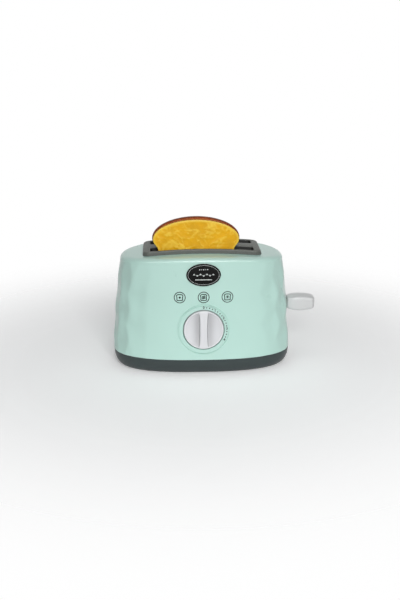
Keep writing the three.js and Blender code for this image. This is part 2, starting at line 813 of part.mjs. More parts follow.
function linerFloor() {
  return block(
    [-linerHalfLength + seatGap, -linerHalfDepth, linerFloorTop - linerFloorThickness],
    [linerHalfLength - seatGap, linerHalfDepth, linerFloorTop],
  );
}

// Screws, made head up and turned to their place. The head's seat is at the origin.
function screw(length, radius, headRadius, headHeight, hasCross = false) {
  const profile = [
    [0, -length],
    [radius, -length],
    [radius, 0],
    [headRadius, 0],
    [headRadius, headHeight],
    [0, headHeight],
  ].map(([x, y]) => new THREE.Vector2(x, y));
  const body = solidOf(new THREE.LatheGeometry(profile, fineSides));
  if (!hasCross) return body;
  const driveHalf = headRadius * driveReachShare;
  const driveHalfWidth = headRadius * driveWidthShare;
  const cross = [[driveHalf, driveHalfWidth], [driveHalfWidth, driveHalf]].map(([x, z]) => (
    block([-x, headHeight / 2, -z], [x, headHeight + overrun, z])
  ));
  return cut(body, ...cross);
}

const screwTurns = {
  headUp: [Math.PI / 2, 0, 0],
  headDown: [-Math.PI / 2, 0, 0],
  headRear: [0, 0, 0],
  headFront: [Math.PI, 0, 0],
};

function placeScrew(name, solid, turn, position) {
  place(name, solid, steel, position).rotation.set(...screwTurns[turn]);
}

// A tube or strip swept along steps that each have a middle and two directions across
function sweep(steps, section) {
  const positions = steps.flatMap(({ middle, out, up }) => section.flatMap(([a, b]) => (
    middle.clone().addScaledVector(out, a).addScaledVector(up, b).toArray()
  )));
  const sides = section.length;
  const index = [];
  for (let step = 0; step + 1 < steps.length; step += 1) {
    for (let side = 0; side < sides; side += 1) {
      const here = step * sides + side;
      const beside = step * sides + (side + 1) % sides;
      index.push(here, beside, beside + sides, here, beside + sides, here + sides);
    }
  }
  const last = (steps.length - 1) * sides;
  for (let side = 1; side + 1 < sides; side += 1) {
    index.push(0, side + 1, side, last, last + side, last + side + 1);
  }
  const geometry = new THREE.BufferGeometry();
  geometry.setAttribute('position', new THREE.Float32BufferAttribute(positions, 3));
  geometry.setIndex(index);
  return geometry;
}

// The least gap that a wound wire keeps to itself, measured between points at least half a turn apart
function printLeastGap(name, steps, stepsToTurn, thickness) {
  let least = Infinity;
  for (let i = 0; i < steps.length; i += 1) {
    for (let j = i + stepsToTurn / 2; j < steps.length; j += 1) {
      least = Math.min(least, steps[i].middle.distanceTo(steps[j].middle) - thickness);
    }
  }
  console.log(`${name}: least gap to itself ${least.toFixed(2)} mm`);
}

const springRadius = rodRadius + springRodGap + springWire / 2;
const springFoot = trayFloor + socketHeight + seatGap;

function liftSpring(name) {
  const bottom = springFoot + springWire / 2;
  const top = sliderBottom - seatGap - springWire / 2;
  const count = springCurls * springSteps;
  const pitchSlope = (top - bottom) / (springCurls * 2 * Math.PI * springRadius);
  const steps = Array.from({ length: count + 1 }, (_, i) => {
    const angle = 2 * Math.PI * i / springSteps;
    const out = new THREE.Vector3(Math.cos(angle), Math.sin(angle), 0);
    const along = new THREE.Vector3(-Math.sin(angle), Math.cos(angle), pitchSlope).normalize();
    const middle = out.clone().multiplyScalar(springRadius);
    middle.z = bottom + (top - bottom) * i / count;
    return { middle, out, up: new THREE.Vector3().crossVectors(out, along) };
  });
  printLeastGap(name, steps, springSteps, springWire);
  const section = Array.from({ length: springSides }, (_, i) => {
    const angle = 2 * Math.PI * i / springSides;
    return [Math.cos(angle) * springWire / 2, -Math.sin(angle) * springWire / 2];
  });
  return sweep(steps, section);
}

// Carriage: slider, crossbar, two shelves, catch arm and the lever knob on the slider's stem
const shelfScrewX = sliderInner + shelfScrewInset;
const sliderFront = camRear + seatGap;
const catchScrewPlaces = [-1, 1].map((side) => [
  rodX + side * catchScrewSpread / 2,
  catchArmTop - catchArmHeight / 2,
]);

function shelfPilots(x, top) {
  return [-1, 1].map((row) => barZ(
    x,
    row * slotPitch / 2,
    top - smallScrewLength + shelfThickness,
    top + overrun,
    smallScrewRadius + seatGap,
    fineSides,
  ));
}

function slider() {
  const body = block([sliderInner, sliderFront, sliderBottom], [sliderOuter, sliderRearReach, sliderTop]);
  const stem = block(
    [rodX, -stemWidth / 2, stemTop - stemHeight],
    [leverRoot + stemReach, stemWidth / 2, stemTop],
  );
  const rods = [-1, 1].map((side) => barZ(
    rodX,
    side * rodSpread / 2,
    sliderBottom - overrun,
    sliderTop + overrun,
    rodRadius + runningGap,
  ));
  const armPilots = catchScrewPlaces.map(([x, z]) => barY(
    x,
    z,
    sliderFront - overrun,
    sliderFront + smallScrewLength - camThickness,
    smallScrewRadius + seatGap,
    fineSides,
  ));
  return cut(join(body, stem), ...rods, ...shelfPilots(shelfScrewX, sliderTop), ...armPilots);
}

function leftCrossbar() {
  const half = slotPitch / 2 + armWidth / 2 + runningGap;
  const body = block(
    [-sliderInner - crossbarLength, -half, sliderTop - crossbarHeight],
    [-sliderInner, half, sliderTop],
  );
  const rod = barZ(leftRodX, 0, sliderBottom - overrun, sliderTop + overrun, rodRadius + runningGap);
  return cut(body, rod, ...shelfPilots(-shelfScrewX, sliderTop));
}

function toastShelf(row) {
  const middle = row * slotPitch / 2;
  const wideEnd = linerHalfLength - shelfEndGap;
  const rightEnd = sliderOuter - armEndInset;
  const leftEnd = -(sliderInner + crossbarLength - armEndInset / 2);
  const shape = new THREE.Shape();
  shape.moveTo(leftEnd, middle - armWidth / 2);
  shape.lineTo(-wideEnd, middle - armWidth / 2);
  shape.lineTo(-wideEnd, middle - shelfWidth / 2);
  shape.lineTo(wideEnd, middle - shelfWidth / 2);
  shape.lineTo(wideEnd, middle - armWidth / 2);
  shape.lineTo(rightEnd, middle - armWidth / 2);
  shape.lineTo(rightEnd, middle + armWidth / 2);
  shape.lineTo(wideEnd, middle + armWidth / 2);
  shape.lineTo(wideEnd, middle + shelfWidth / 2);
  shape.lineTo(-wideEnd, middle + shelfWidth / 2);
  shape.lineTo(-wideEnd, middle + armWidth / 2);
  shape.lineTo(leftEnd, middle + armWidth / 2);
  shape.holes.push(circleHole(shelfScrewX, middle, smallScrewRadius + seatGap));
  shape.holes.push(circleHole(-shelfScrewX, middle, smallScrewRadius + seatGap));
  const plate = raised(shape, shelfBottom, shelfTop, 4);
  const ribs = [-1, 1].map((side) => {
    const y = middle + side * (shelfWidth / 2 - panelThickness / 2);
    return block(
      [-wideEnd, y - panelThickness / 2, shelfBottom - shelfThickness / 2],
      [wideEnd, y + panelThickness / 2, shelfTop - shelfThickness / 2],
    );
  });
  return join(plate, ...ribs);
}

function catchArm() {
  const body = block(
    [camFlat + catchSideGap, camFront, catchArmBottom],
    [sliderOuter, camRear, catchArmTop],
  );
  const holes = catchScrewPlaces.map(([x, z]) => barY(
    x,
    z,
    camFront - overrun,
    camRear + overrun,
    smallScrewRadius + seatGap,
    fineSides,
  ));
  return cut(body, ...holes);
}

// The lever knob is barrel-shaped seen from the front and from above, with a nearly flat end
function barrelOutline(rootHalf, middleHalf, endHalf, centre) {
  const shape = new THREE.Shape();
  const bulge = leverRoot + leverLength * leverBulgeShare;
  const cornerX = leverEnd - leverEndCorner;
  shape.moveTo(leverRoot, centre - rootHalf);
  shape.quadraticCurveTo((leverRoot + bulge) / 2, centre - middleHalf, bulge, centre - middleHalf);
  shape.quadraticCurveTo((bulge + cornerX) / 2, centre - middleHalf, cornerX, centre - endHalf);
  shape.quadraticCurveTo(leverEnd, centre - endHalf, leverEnd, centre - endHalf + leverEndCorner);
  shape.lineTo(leverEnd, centre + endHalf - leverEndCorner);
  shape.quadraticCurveTo(leverEnd, centre + endHalf, cornerX, centre + endHalf);
  shape.quadraticCurveTo((bulge + cornerX) / 2, centre + middleHalf, bulge, centre + middleHalf);
  shape.quadraticCurveTo((leverRoot + bulge) / 2, centre + middleHalf, leverRoot, centre + rootHalf);
  return shape;
}

function leverKnob() {
  const side = barrelOutline(leverRootHeight / 2, leverHeight / 2, leverEndHeight / 2, leverLevel);
  const plan = barrelOutline(leverRootDepth / 2, leverDepth / 2, leverEndDepth / 2, 0);
  const thick = solidOf(upright(side, leverDepth / 2, -leverDepth / 2, { bevel: leverBevel }));
  const tall = raised(plan, leverLevel - leverHeight, leverLevel + leverHeight, 5);
  const socket = block(
    [leverRoot - overrun, -stemWidth / 2 - seatGap, stemTop - stemHeight - seatGap],
    [leverRoot + stemReach + seatGap, stemWidth / 2 + seatGap, stemTop + seatGap],
  );
  return cut(thick.intersect(tall), socket);
}

// Gears, seen from the front. A tooth is centred on the direction of the given angle.
function gearShape(teeth, firstTooth) {
  const pitchRadius = gearModule * teeth / 2;
  const pitchAngle = 2 * Math.PI / teeth;
  const root = pitchRadius - gearModule * toothRootShare;
  const tip = pitchRadius + toothTip;
  const corners = [
    [root, -toothRootWidthShare / 2],
    [tip, -toothTipWidthShare / 2],
    [tip, toothTipWidthShare / 2],
    [root, toothRootWidthShare / 2],
  ];
  const points = Array.from({ length: teeth }, (_, tooth) => corners.map(([radius, share]) => {
    const angle = firstTooth + pitchAngle * (tooth + share);
    return new THREE.Vector2(radius * Math.cos(angle), radius * Math.sin(angle));
  })).flat();
  return new THREE.Shape(points);
}

function gearAt(x, z, teeth, firstTooth, rear, front) {
  const geometry = upright(gearShape(teeth, firstTooth), rear, front);
  geometry.translate(x, 0, z);
  return solidOf(geometry);
}

function mainGear() {
  const teeth = gearAt(0, knobLevel, mainTeeth, 0, mainGearRear, mainGearFront);
  const bore = barY(0, knobLevel, mainGearFront - overrun, mainGearRear + overrun, arborRadius + seatGap);
  const windows = [0, 1, 2, 3].map((i) => {
    const angle = (Math.PI / 2) * (i + 1 / 2);
    const reach = (mainRadius + arborRadius) / 2;
    return barY(
      reach * Math.cos(angle),
      knobLevel + reach * Math.sin(angle),
      mainGearFront - overrun,
      mainGearRear + overrun,
      mainRadius * gearWindowShare,
      fineSides,
    );
  });
  return cut(teeth, bore, ...windows);
}

function timerWheel() {
  const halfTooth = Math.PI / wheelPinionTeeth;
  const pinionFront = mainGearFront - timerGap / 2;
  const wheel = gearAt(wheelX, wheelLevel, wheelTeeth, flyAngle, wheelRear, wheelFront);
  const pinion = gearAt(wheelX, wheelLevel, wheelPinionTeeth, halfTooth, wheelRear, pinionFront);
  const bore = barY(
    wheelX,
    wheelLevel,
    pinionFront - overrun,
    wheelRear + overrun,
    smallArborRadius + seatGap,
    fineSides,
  );
  return cut(join(wheel, pinion), bore);
}

function fly() {
  const towardsWheel = flyAngle + Math.PI;
  const firstTooth = towardsWheel + Math.PI / flyPinionTeeth;
  const pinionRear = rearPlateFront - timerGap / 2;
  const pinionFront = mainGearRear + timerGap / 2;
  const bladeRear = mainspringRear - timerGap / 4;
  const pinion = gearAt(flyX, flyLevel, flyPinionTeeth, firstTooth, pinionRear, pinionFront);
  const hub = barY(flyX, flyLevel, frontPlateRear + timerGap / 2, pinionRear, flyHubRadius, fineSides);
  const journals = barY(flyX, flyLevel, frontPlateFront, rearPlateRear, smallArborRadius, fineSides);
  const blades = block(
    [flyX - flyRadius, bladeRear - flyBladeHeight, flyLevel - flyBladeThickness / 2],
    [flyX + flyRadius, bladeRear, flyLevel + flyBladeThickness / 2],
  );
  return join(pinion, hub, journals, blades);
}

function timerPlate(rear, front) {
  const shape = roundedRectangle(
    (plateRight - plateLeft) / 2,
    plateHeight / 2,
    plateCorner,
    (plateRight + plateLeft) / 2,
    knobLevel,
  );
  shape.holes.push(circleHole(0, knobLevel, arborRadius + runningGap));
  shape.holes.push(circleHole(wheelX, wheelLevel, smallArborRadius + runningGap));
  shape.holes.push(circleHole(flyX, flyLevel, smallArborRadius + runningGap));
  for (const [x, z] of pillarPlaces) shape.holes.push(circleHole(x, z, screwRadius + seatGap));
  return upright(shape, rear, front, { curveSegments: 4 });
}

function frontPlate() {
  const [pinX, pinLevel] = springPinPlace;
  return join(
    solidOf(timerPlate(frontPlateRear, frontPlateFront)),
    barY(pinX, pinLevel, frontPlateRear - plateThickness / 2, mainspringRear, springPinRadius, fineSides),
  );
}

function timerSpacer() {
  const shape = new THREE.Shape();
  shape.absarc(0, 0, pillarRadius, 0, 2 * Math.PI, false);
  shape.holes.push(circleHole(0, 0, screwRadius + seatGap));
  return upright(shape, rearPlateFront - seatGap, frontPlateRear + seatGap, { curveSegments: 5 });
}

function timerArbor() {
  const shoulder = knobBack + seatGap;
  return join(
    barY(0, knobLevel, shoulder, camRear, arborRadius),
    barY(0, knobLevel, knobBack - knobStubLength, shoulder + arborRadius, knobStubRadius),
  );
}

function timerCam() {
  const flatAngle = Math.asin(camHalfChord / camRadius);
  const shape = new THREE.Shape();
  shape.absarc(0, 0, camRadius, flatAngle, 2 * Math.PI - flatAngle, false);
  shape.holes.push(circleHole(0, 0, arborRadius + seatGap));
  const geometry = upright(shape, camRear, camFront, { curveSegments: 20 });
  geometry.translate(0, 0, knobLevel);
  return geometry;
}

function mainspring() {
  const count = mainspringTurns * mainspringSteps;
  const [start, end] = [mainspringInner + mainspringStrip / 2, mainspringOuter - mainspringStrip / 2];
  const steps = Array.from({ length: count + 1 }, (_, i) => {
    const angle = -Math.PI / 2 + 2 * Math.PI * i / mainspringSteps;
    const out = new THREE.Vector3(Math.cos(angle), 0, Math.sin(angle));
    const middle = out.clone().multiplyScalar(start + (end - start) * i / count);
    return { middle, out, up: new THREE.Vector3(0, 1, 0) };
  });
  printLeastGap('mainspring', steps, mainspringSteps, mainspringStrip);
  const [a, b] = [mainspringStrip / 2, mainspringHeight / 2];
  return sweep(steps, [[a, b], [-a, b], [-a, -b], [a, -b]]);
}

// Knob: a tapered round body, dished on both sides of an upright bar
const knobBack = recessFloor - knobWallGap;

function knobEnvelope(height) {
  const front = knobRadius - knobTaper;
  const profile = [
    [0, -height],
    [front - knobEdge, -height],
    [front, -height + knobEdge],
    [knobRadius, 0],
    [0, 0],
  ].map(([x, y]) => new THREE.Vector2(x, y));
  const geometry = new THREE.LatheGeometry(profile, wideSides);
  geometry.translate(0, knobBack, knobLevel);
  return solidOf(geometry);
}

function knob() {
  const rimInner = knobRadius - knobTaper - knobRimWidth;
  const scoopX = knobBarWidth / 2 + knobBarSoftness;
  const rise = knobRimHeight - knobBarFoot;
  const scoopRadius = ((rimInner - scoopX) ** 2 + rise ** 2) / (2 * rise);
  const barRoom = block(
    [-knobBarWidth / 2, knobBack - knobHeight - overrun, knobLevel - knobRadius],
    [knobBarWidth / 2, knobBack, knobLevel + knobRadius],
  );
  const scoops = [-1, 1].map((side) => {
    const geometry = new THREE.SphereGeometry(scoopRadius, 26, 18);
    geometry.scale(1, 1, rimInner / (rimInner - scoopX));
    geometry.translate(side * scoopX, knobBack - knobBarFoot - scoopRadius, knobLevel);
    return solidOf(geometry).subtract(barRoom);
  });
  const bar = barRoom.intersect(knobEnvelope(knobHeight));
  const socket = barY(
    0,
    knobLevel,
    knobBack - knobStubLength - seatGap,
    knobBack + overrun,
    knobStubRadius + seatGap,
  );
  return cut(join(cut(knobEnvelope(knobRimHeight), ...scoops), bar), socket);
}

function badgePlate() {
  const shape = new THREE.Shape();
  shape.absellipse(0, 0, badgeWidth / 2, badgeHeight / 2, 0, 2 * Math.PI, false);
  return upright(shape, 0, -badgeThickness, { bevel: badgeBevel, curveSegments: 28 });
}

// Toast: a pale face and a darker crust behind it that stands a little higher
const faceTop = toastTop - crustRise;
const widestLevel = faceTop - domeHeight;
const neckLevel = widestLevel - neckDrop;
const toastFront = -slotPitch / 2 - (faceThickness + seatGap + crustThickness) / 2;

function toastOutline(domeRise) {
  const [half, neck, foot] = [toastWidth / 2, neckWidth / 2, footWidth / 2];
  const x = (offset) => offset - toastShift;
  const bend = neckDrop * neckCurveShares[0];
  const swell = neckDrop * neckCurveShares[1];
  const shape = new THREE.Shape();
  shape.moveTo(x(-foot + footCorner), toastBottom);
  shape.lineTo(x(foot - footCorner), toastBottom);
  shape.quadraticCurveTo(x(foot), toastBottom, x(foot), toastBottom + footCorner);
  shape.lineTo(x(neck), neckLevel);
  shape.bezierCurveTo(x(neck), neckLevel + bend, x(half), widestLevel - swell, x(half), widestLevel);
  shape.absellipse(x(0), widestLevel, half, domeHeight + domeRise, 0, Math.PI, false);
  shape.bezierCurveTo(x(-half), widestLevel - swell, x(-neck), neckLevel + bend, x(-neck), neckLevel);
  shape.lineTo(x(-foot), toastBottom + footCorner);
  shape.quadraticCurveTo(x(-foot), toastBottom, x(-foot + footCorner), toastBottom);
  return shape;
}

function toastFace() {
  const rear = toastFront + faceThickness;
  return upright(toastOutline(0), rear, toastFront, { bevel: faceBevel, curveSegments: 10 });
}

function toastCrust() {
  const front = toastFront + faceThickness + seatGap;
  return upright(toastOutline(crustRise), front + crustThickness, front, {
    bevel: crustBevel,
    bevelSegments: 2,
    curveSegments: 9,
  });
}

// Casing
place('body_shell', bodyShell(), mintPlastic);
place('base_tray', baseTray(), slatePlastic);
place('top_bezel', topBezel(), bezelPlastic);

const badgeLevel = trayHeight + wallHeight - badgeDrop;
const [badgeLow, badgeHigh] = [badgeLevel - badgeHeight / 2, badgeLevel + badgeHeight / 2];
const badgeSlope = frontFaceAt(0, badgeHigh) - frontFaceAt(0, badgeLow);
const badgeY = frontFaceAt(0, badgeLevel) - seatGap;
place('badge_plate', badgePlate(), badgeBlack, [0, badgeY, badgeLevel])
  .rotation.x = -Math.atan2(badgeSlope, badgeHeight);

// Liner
place('end_plate_lever_side', endPlate(1, [[rodX, -rodSpread / 2], [rodX, rodSpread / 2]]), linerPlastic);
place('end_plate_far_side', endPlate(-1, [[leftRodX, 0]]), linerPlastic);
const innerPanelY = slotPitch / 2 - sideOfSlot;
place('liner_panel_front_outer', linerPanel(-linerHalfDepth, panelThickness), linerPlastic);
place('liner_panel_front_inner', linerPanel(-innerPanelY, panelThickness), linerPlastic);
place('liner_panel_rear_inner', linerPanel(innerPanelY, -panelThickness), linerPlastic);
place('liner_panel_rear_outer', linerPanel(linerHalfDepth, -panelThickness), linerPlastic);
place('liner_floor', linerFloor(), linerPlastic);

// Guide rods and lift springs
const bracketSocketTop = endPlateTop - bracketDrop - bracketHeight + socketDepth;
const rodPlaces = {
  guide_rod_front: [rodX, -rodSpread / 2],
  guide_rod_rear: [rodX, rodSpread / 2],
  guide_rod_far_side: [leftRodX, 0],
};
for (const [name, [x, y]] of Object.entries(rodPlaces)) {
  place(name, barZ(x, y, trayFloor + seatGap, bracketSocketTop - seatGap, rodRadius), steel);
}
place('lift_spring_front', liftSpring('lift_spring_front'), springSteel, [rodX, -rodSpread / 2, 0]);
place('lift_spring_rear', liftSpring('lift_spring_rear'), springSteel, [rodX, rodSpread / 2, 0]);

// Carriage
place('carriage_slider', slider(), innerPlastic);
place('carriage_crossbar', leftCrossbar(), innerPlastic);
place('toast_shelf_front', toastShelf(-1), innerPlastic);
place('toast_shelf_rear', toastShelf(1), innerPlastic);
place('catch_arm', catchArm(), steel);
place('lever_knob', leverKnob(), leverWhite);
const smallScrew = screw(smallScrewLength, smallScrewRadius, smallScrewHeadRadius, smallScrewHeadHeight);
const shelfScrewPlaces = [[1, -1], [1, 1], [-1, -1], [-1, 1]];
shelfScrewPlaces.forEach(([end, row], i) => {
  const position = [end * shelfScrewX, row * slotPitch / 2, shelfTop + seatGap];
  placeScrew(`shelf_screw_${i + 1}`, smallScrew, 'headUp', position);
});
catchScrewPlaces.forEach(([x, z], i) => {
  placeScrew(`catch_screw_${i + 1}`, smallScrew, 'headFront', [x, camFront - seatGap, z]);
});

// Timer
place('timer_plate_front', frontPlate(), steel);
place('timer_plate_rear', timerPlate(rearPlateRear, rearPlateFront), steel);
const timerScrewLength = rearPlateRear - frontPlateFront + timerScrewBite + 2 * seatGap;
const timerScrew = screw(timerScrewLength, screwRadius, screwHeadRadius, screwHeadHeight);
pillarPlaces.forEach(([x, z], i) => {
  place(`timer_spacer_${i + 1}`, timerSpacer(), steel, [x, 0, z]);
  placeScrew(`timer_screw_${i + 1}`, timerScrew, 'headRear', [x, rearPlateRear + seatGap, z]);
});
place('timer_arbor', timerArbor(), steel);
place('timer_cam', timerCam(), gearPlastic);
place('main_gear', mainGear(), gearPlastic);
place('mainspring', mainspring(), springSteel, [0, mainspringRear - mainspringHeight / 2, knobLevel]);
place('timer_wheel', timerWheel(), gearPlastic);
const wheelArbor = barY(wheelX, wheelLevel, frontPlateFront, rearPlateRear, smallArborRadius, fineSides);
place('timer_wheel_arbor', wheelArbor, steel);
place('timer_fly', fly(), gearPlastic);
place('knob', knob(), knobWhite);

// Screws through the base
const baseScrewLength = trayHeight + baseScrewBite - baseScrewSink - screwHeadHeight;
const baseScrew = screw(baseScrewLength, screwRadius, screwHeadRadius, screwHeadHeight, true);
baseScrewPlaces.forEach(([x, y], i) => {
  placeScrew(`base_screw_${i + 1}`, baseScrew, 'headDown', [x, y, baseScrewSink + screwHeadHeight]);
});

// Toast
place('toast_face', toastFace(), toastYellow);
place('toast_crust', toastCrust(), crustBrown);

export default toaster;
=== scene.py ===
"""Looks of the toy toaster, laid out as an add-on and run as a script."""

import json
import math
from collections import namedtuple

import bmesh
import bpy
import numpy as np
from bpy.props import FloatProperty, FloatVectorProperty, PointerProperty
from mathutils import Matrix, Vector, noise
from mathutils.kdtree import KDTree


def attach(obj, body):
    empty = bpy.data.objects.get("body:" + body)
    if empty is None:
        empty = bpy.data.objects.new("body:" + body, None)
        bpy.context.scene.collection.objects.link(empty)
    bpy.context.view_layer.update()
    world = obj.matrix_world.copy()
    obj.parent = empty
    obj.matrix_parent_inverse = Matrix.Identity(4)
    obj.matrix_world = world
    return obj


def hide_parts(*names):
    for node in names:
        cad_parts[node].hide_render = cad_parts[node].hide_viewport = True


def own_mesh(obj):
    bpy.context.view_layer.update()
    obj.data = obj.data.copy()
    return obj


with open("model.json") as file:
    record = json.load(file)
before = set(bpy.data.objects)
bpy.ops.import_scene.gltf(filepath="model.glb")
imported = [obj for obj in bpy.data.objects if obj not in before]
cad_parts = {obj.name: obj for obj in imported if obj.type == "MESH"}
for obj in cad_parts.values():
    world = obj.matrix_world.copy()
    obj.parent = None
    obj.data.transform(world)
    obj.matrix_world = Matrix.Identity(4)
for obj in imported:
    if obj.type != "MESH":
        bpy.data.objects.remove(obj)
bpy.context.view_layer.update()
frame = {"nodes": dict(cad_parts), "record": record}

bl_info = {
    "name": "Toy Toaster Looks",
    "version": (1, 0, 0),
    "blender": (4, 5, 0),
    "location": "3D View > Sidebar > Toy Toaster",
    "description": "Dresses the jointed toy toaster with its shapes and finishes",
    "category": "Object",
}

# Lengths are millimetres in the part's frame. MM turns them into metres.
MM = 0.001

# Body shell
HALF_LENGTH = 90.0
HALF_DEPTH = 48.999
SEAM = 16.0
WALL_HEIGHT = 97.9
SHELL_WALL = 2.3
OUTLINE_POWER = 2.55
TAPER_SHARE = 0.097
TAPER_LINEAR_SHARE = 0.32
CROWN_DROP = 6.6
SHOULDER_RISE = 3.85
SHOULDER_INSET = 7.0
FACET_START_SHARE = 0.64
FRONT_COLUMNS = 12
END_COLUMNS = 10
FACET_ROWS = 6
FACET_RAISED_SHARE = 0.3
FACET_LEVELS = 3
COLUMNS = 2 * (FRONT_COLUMNS + END_COLUMNS)
STEPS_PER_COLUMN = 8
STEPS_PER_ROW = 10
SHOULDER_STEPS = 10
CROWN_TOP = SEAM + WALL_HEIGHT + SHOULDER_RISE
FACET_CLEARANCE = 1.8
FACET_FADE_COLUMNS = 0.6
SOFTENING_ROUNDS = 2
SEAT_GAP = 0.3
SHELL_POST_HEIGHT = 12.0
PILOT_DEPTH = 10.3
OVERRUN = 6.0
SHORT_OVERRUN = 1.0
FINE_COUNT = 160
WALL_SHARES = (0.0, 0.25, 0.5, 0.75, 1.0)

# Base tray
TRAY_TURN_IN = 9.0
TRAY_FLOOR = 2.3
TRAY_WALL = 2.2
TRAY_STEPS = 16
TRAY_CURVE = 1.6
TRAY_TOP_SHARE = 0.03
TRAY_CAVITY_BEND = (0.28, 0.34)
LIP_HEIGHT = 3.0
LIP_INSET = 2.6
LIP_THICKNESS = 1.4
BOSS_RADIUS = 4.5
BASE_SCREWS = ((-50.04, -29.01), (50.04, -29.01), (50.04, 29.01), (-50.04, 29.01))
SCREW_RADIUS = 1.5
SCREW_HEAD_RADIUS = 2.7
SCREW_HEAD_SEAT = 2.6
SCREW_HEAD_SINK = 0.8
SCREW_TIP = 26.0
DRIVE_HALVES = (1.55, 0.36)
DRIVE_DEPTH = 0.95

# Lever and its channel
LEVER_LEVEL = 59.5
LEVER_ROOT = 87.45
LEVER_LENGTH = 28.2
LEVER_TRAVEL = 30.0
CHANNEL_FLOOR = 86.65
CHANNEL_HALF_DEPTH = 10.6
CHANNEL_BOTTOM = 22.4
CHANNEL_TOP = 66.6
LEVER_PROFILE = (
    (0.0, 5.5, 7.2), (0.12, 6.55, 8.4), (0.42, 7.7, 9.3),
    (0.7, 7.25, 9.1), (0.93, 6.0, 8.7), (1.0, 5.5, 8.4),
)
LEVER_SHARES = (
    0.0, 0.01, 0.02, 0.035, 0.055, *np.arange(0.08, 0.86, 0.04),
    0.86, 0.88, 0.895, 0.905, 0.92, 0.94, 0.955, 0.968, 0.98, 0.99, 0.996, 1.0,
)
LEVER_COUNT = 72
LEVER_POWER = 5.0
LEVER_CREASE = 0.9
LEVER_CHAMFER = 2.6
LEVER_ROOT_EDGE = (0.8, 0.04)
LEVER_END_EDGE = (1.1, 0.045)
STEM_HALF_WIDTH = 2.5
STEM_BOTTOM = 56.0
STEM_TOP = 63.0
STEM_REACH = 12.0
RUNNING_GAP = 0.4

# Knob and the pad behind it
KNOB_LEVEL = 47.05
KNOB_BACK = -44.3
LAND_FACE = -48.4
LAND_RADIUS = 25.5
LAND_GROOVE_RADIUS = 24.9
LAND_GROOVE_WIDTH = 0.75
LAND_GROOVE_DEPTH = 0.9
RECESS_GAP = 0.85
RECESS_DEPTH = 4.6
RECESS_WALL = 1.6
ARBOR_HOLE_RADIUS = 3.4
STUB_HOLE_RADIUS = 2.3
STUB_HOLE_DEPTH = 4.7
KNOB_RADIUS = 19.75
KNOB_FRONT_RADIUS = 19.5
KNOB_RIM_HEIGHT = 5.4
KNOB_RIM_INNER = 18.3
KNOB_BAR_HEIGHT = 6.598
KNOB_BAR_HALF = 3.85
KNOB_BAR_FLARE = 1.15
KNOB_FLARE_REACH = 2.5
KNOB_BAR_FOOT = 1.5
KNOB_BAR_ROUNDING = (-0.75, 1.3)
KNOB_SCOOP_X = 4.95
KNOB_EDGE = 0.8
KNOB_RIM_SOFTNESS = 0.5
KNOB_STEPS = 56
KNOB_SIDE_STEPS = 5
KNOB_BAR_STEPS = (-1.0, -0.8, -0.6, -0.45, -0.3, -0.15, 0.0, 0.15, 0.3, 0.45, 0.6, 0.9)
KNOB_LINE_GAP = 0.3
KNOB_SHORTEST_CHORD = 1e-6
KNOB_STILL_HALF = 0.5
# Painted shade at the foot of the knob's dishes, where they meet the bar
DISH_SHADE_START = 1.0
DISH_SHADE_REACH = 5.5

# Printed marks: three round ones, and the dial's
MARK_LEVEL = 79.7
MARK_SPACING = 23.1
MARK_RADIUS = 5.3
MARK_SLICE_HALF = 3.1
MARK_SLICE = (
    (0.78, -0.95), (0.86, -0.88), (0.86, 0.1), (0.98, 0.35), (0.95, 0.68), (0.7, 0.88), (0.35, 0.95),
)
MARK_LIGHT_RADIUS = 1.05
MARK_DARK_RADIUS = 0.32
MARK_WAVES = (-1.1, 0.0, 1.1)
MARK_WAVE_HALF = 1.6
MARK_WAVE_RISE = 0.35
MARK_WAVE_TURN = 2.3
MARK_CROSS_HALF = 1.5
MARK_DOT_PLACE = 1.25
MARK_DOT_COUNT = 14
DIAL_SPAN = 117.0
DIAL_MARKS = 16
DIAL_DIGIT_EVERY = 4
DIAL_RADIUS = 22.7
DIAL_DOT_RADIUS = 0.6
DIAL_DIGIT_SIZE = 3.5
DIAL_DIGIT_SPREAD = 0.1

# Slots and bezel
SLOT_HALF_LENGTH = 51.0
SLOT_HALF_WIDTH = 7.25
SLOT_MIDDLE = 14.25
SLOT_CORNER = 2.5
SLOT_LIP = 1.0
BEZEL_HALF_LENGTH = 58.5
BEZEL_HALF_DEPTH = 25.1
BEZEL_CORNER = 7.0
BEZEL_TOP = 121.95
BEZEL_CHAMFER = 1.6
# Share of the painted shade down the bezel's outer side
BEZEL_SIDE_SHADE = 0.3
BEZEL_DRAFT = 0.424
SLEEVE_INSET = 2.4
SLEEVE_BOTTOM = 111.75
SLEEVE_TOP = CROWN_TOP + 1.05

# Toast
TOAST_MIDDLE = -6.0
TOAST_BOTTOM = 70.35
TOAST_FACE_TOP = 149.95
TOAST_CORE_LEVEL = 112.0
TOAST_HALF_WIDTH = 42.15
TOAST_NECK_HALF = 37.1
TOAST_FOOT_HALF = 38.2
TOAST_FOOT_CORNER = 6.0
TOAST_DOME = 19.0
TOAST_NECK_DROP = 11.4
TOAST_BENDS = (0.4, 0.5)
TOAST_CURVE_COUNTS = (12, 30, 120)
TOAST_POINTS = 288
FACE_FRONT = -20.0
FACE_THICKNESS = 3.6
FACE_EDGE = 0.9
FACE_SHARES = np.linspace(0.03, 0.985, 34)
STRAND_ROOM = 0.35
STRAND_BASE = 0.15
STRAND_FADE = (0.965, 0.04)
# Painted highlight along the rim of the toast's face
RIM_HIGHLIGHT_WIDTH = 1.9
RIM_HIGHLIGHT_FADE = 0.8
CRUST_FRONT = -16.1
CRUST_THICKNESS = 7.6
CRUST_RISE = 2.4
CRUST_EDGE = 3.3
CRUST_SPREAD = 0.9

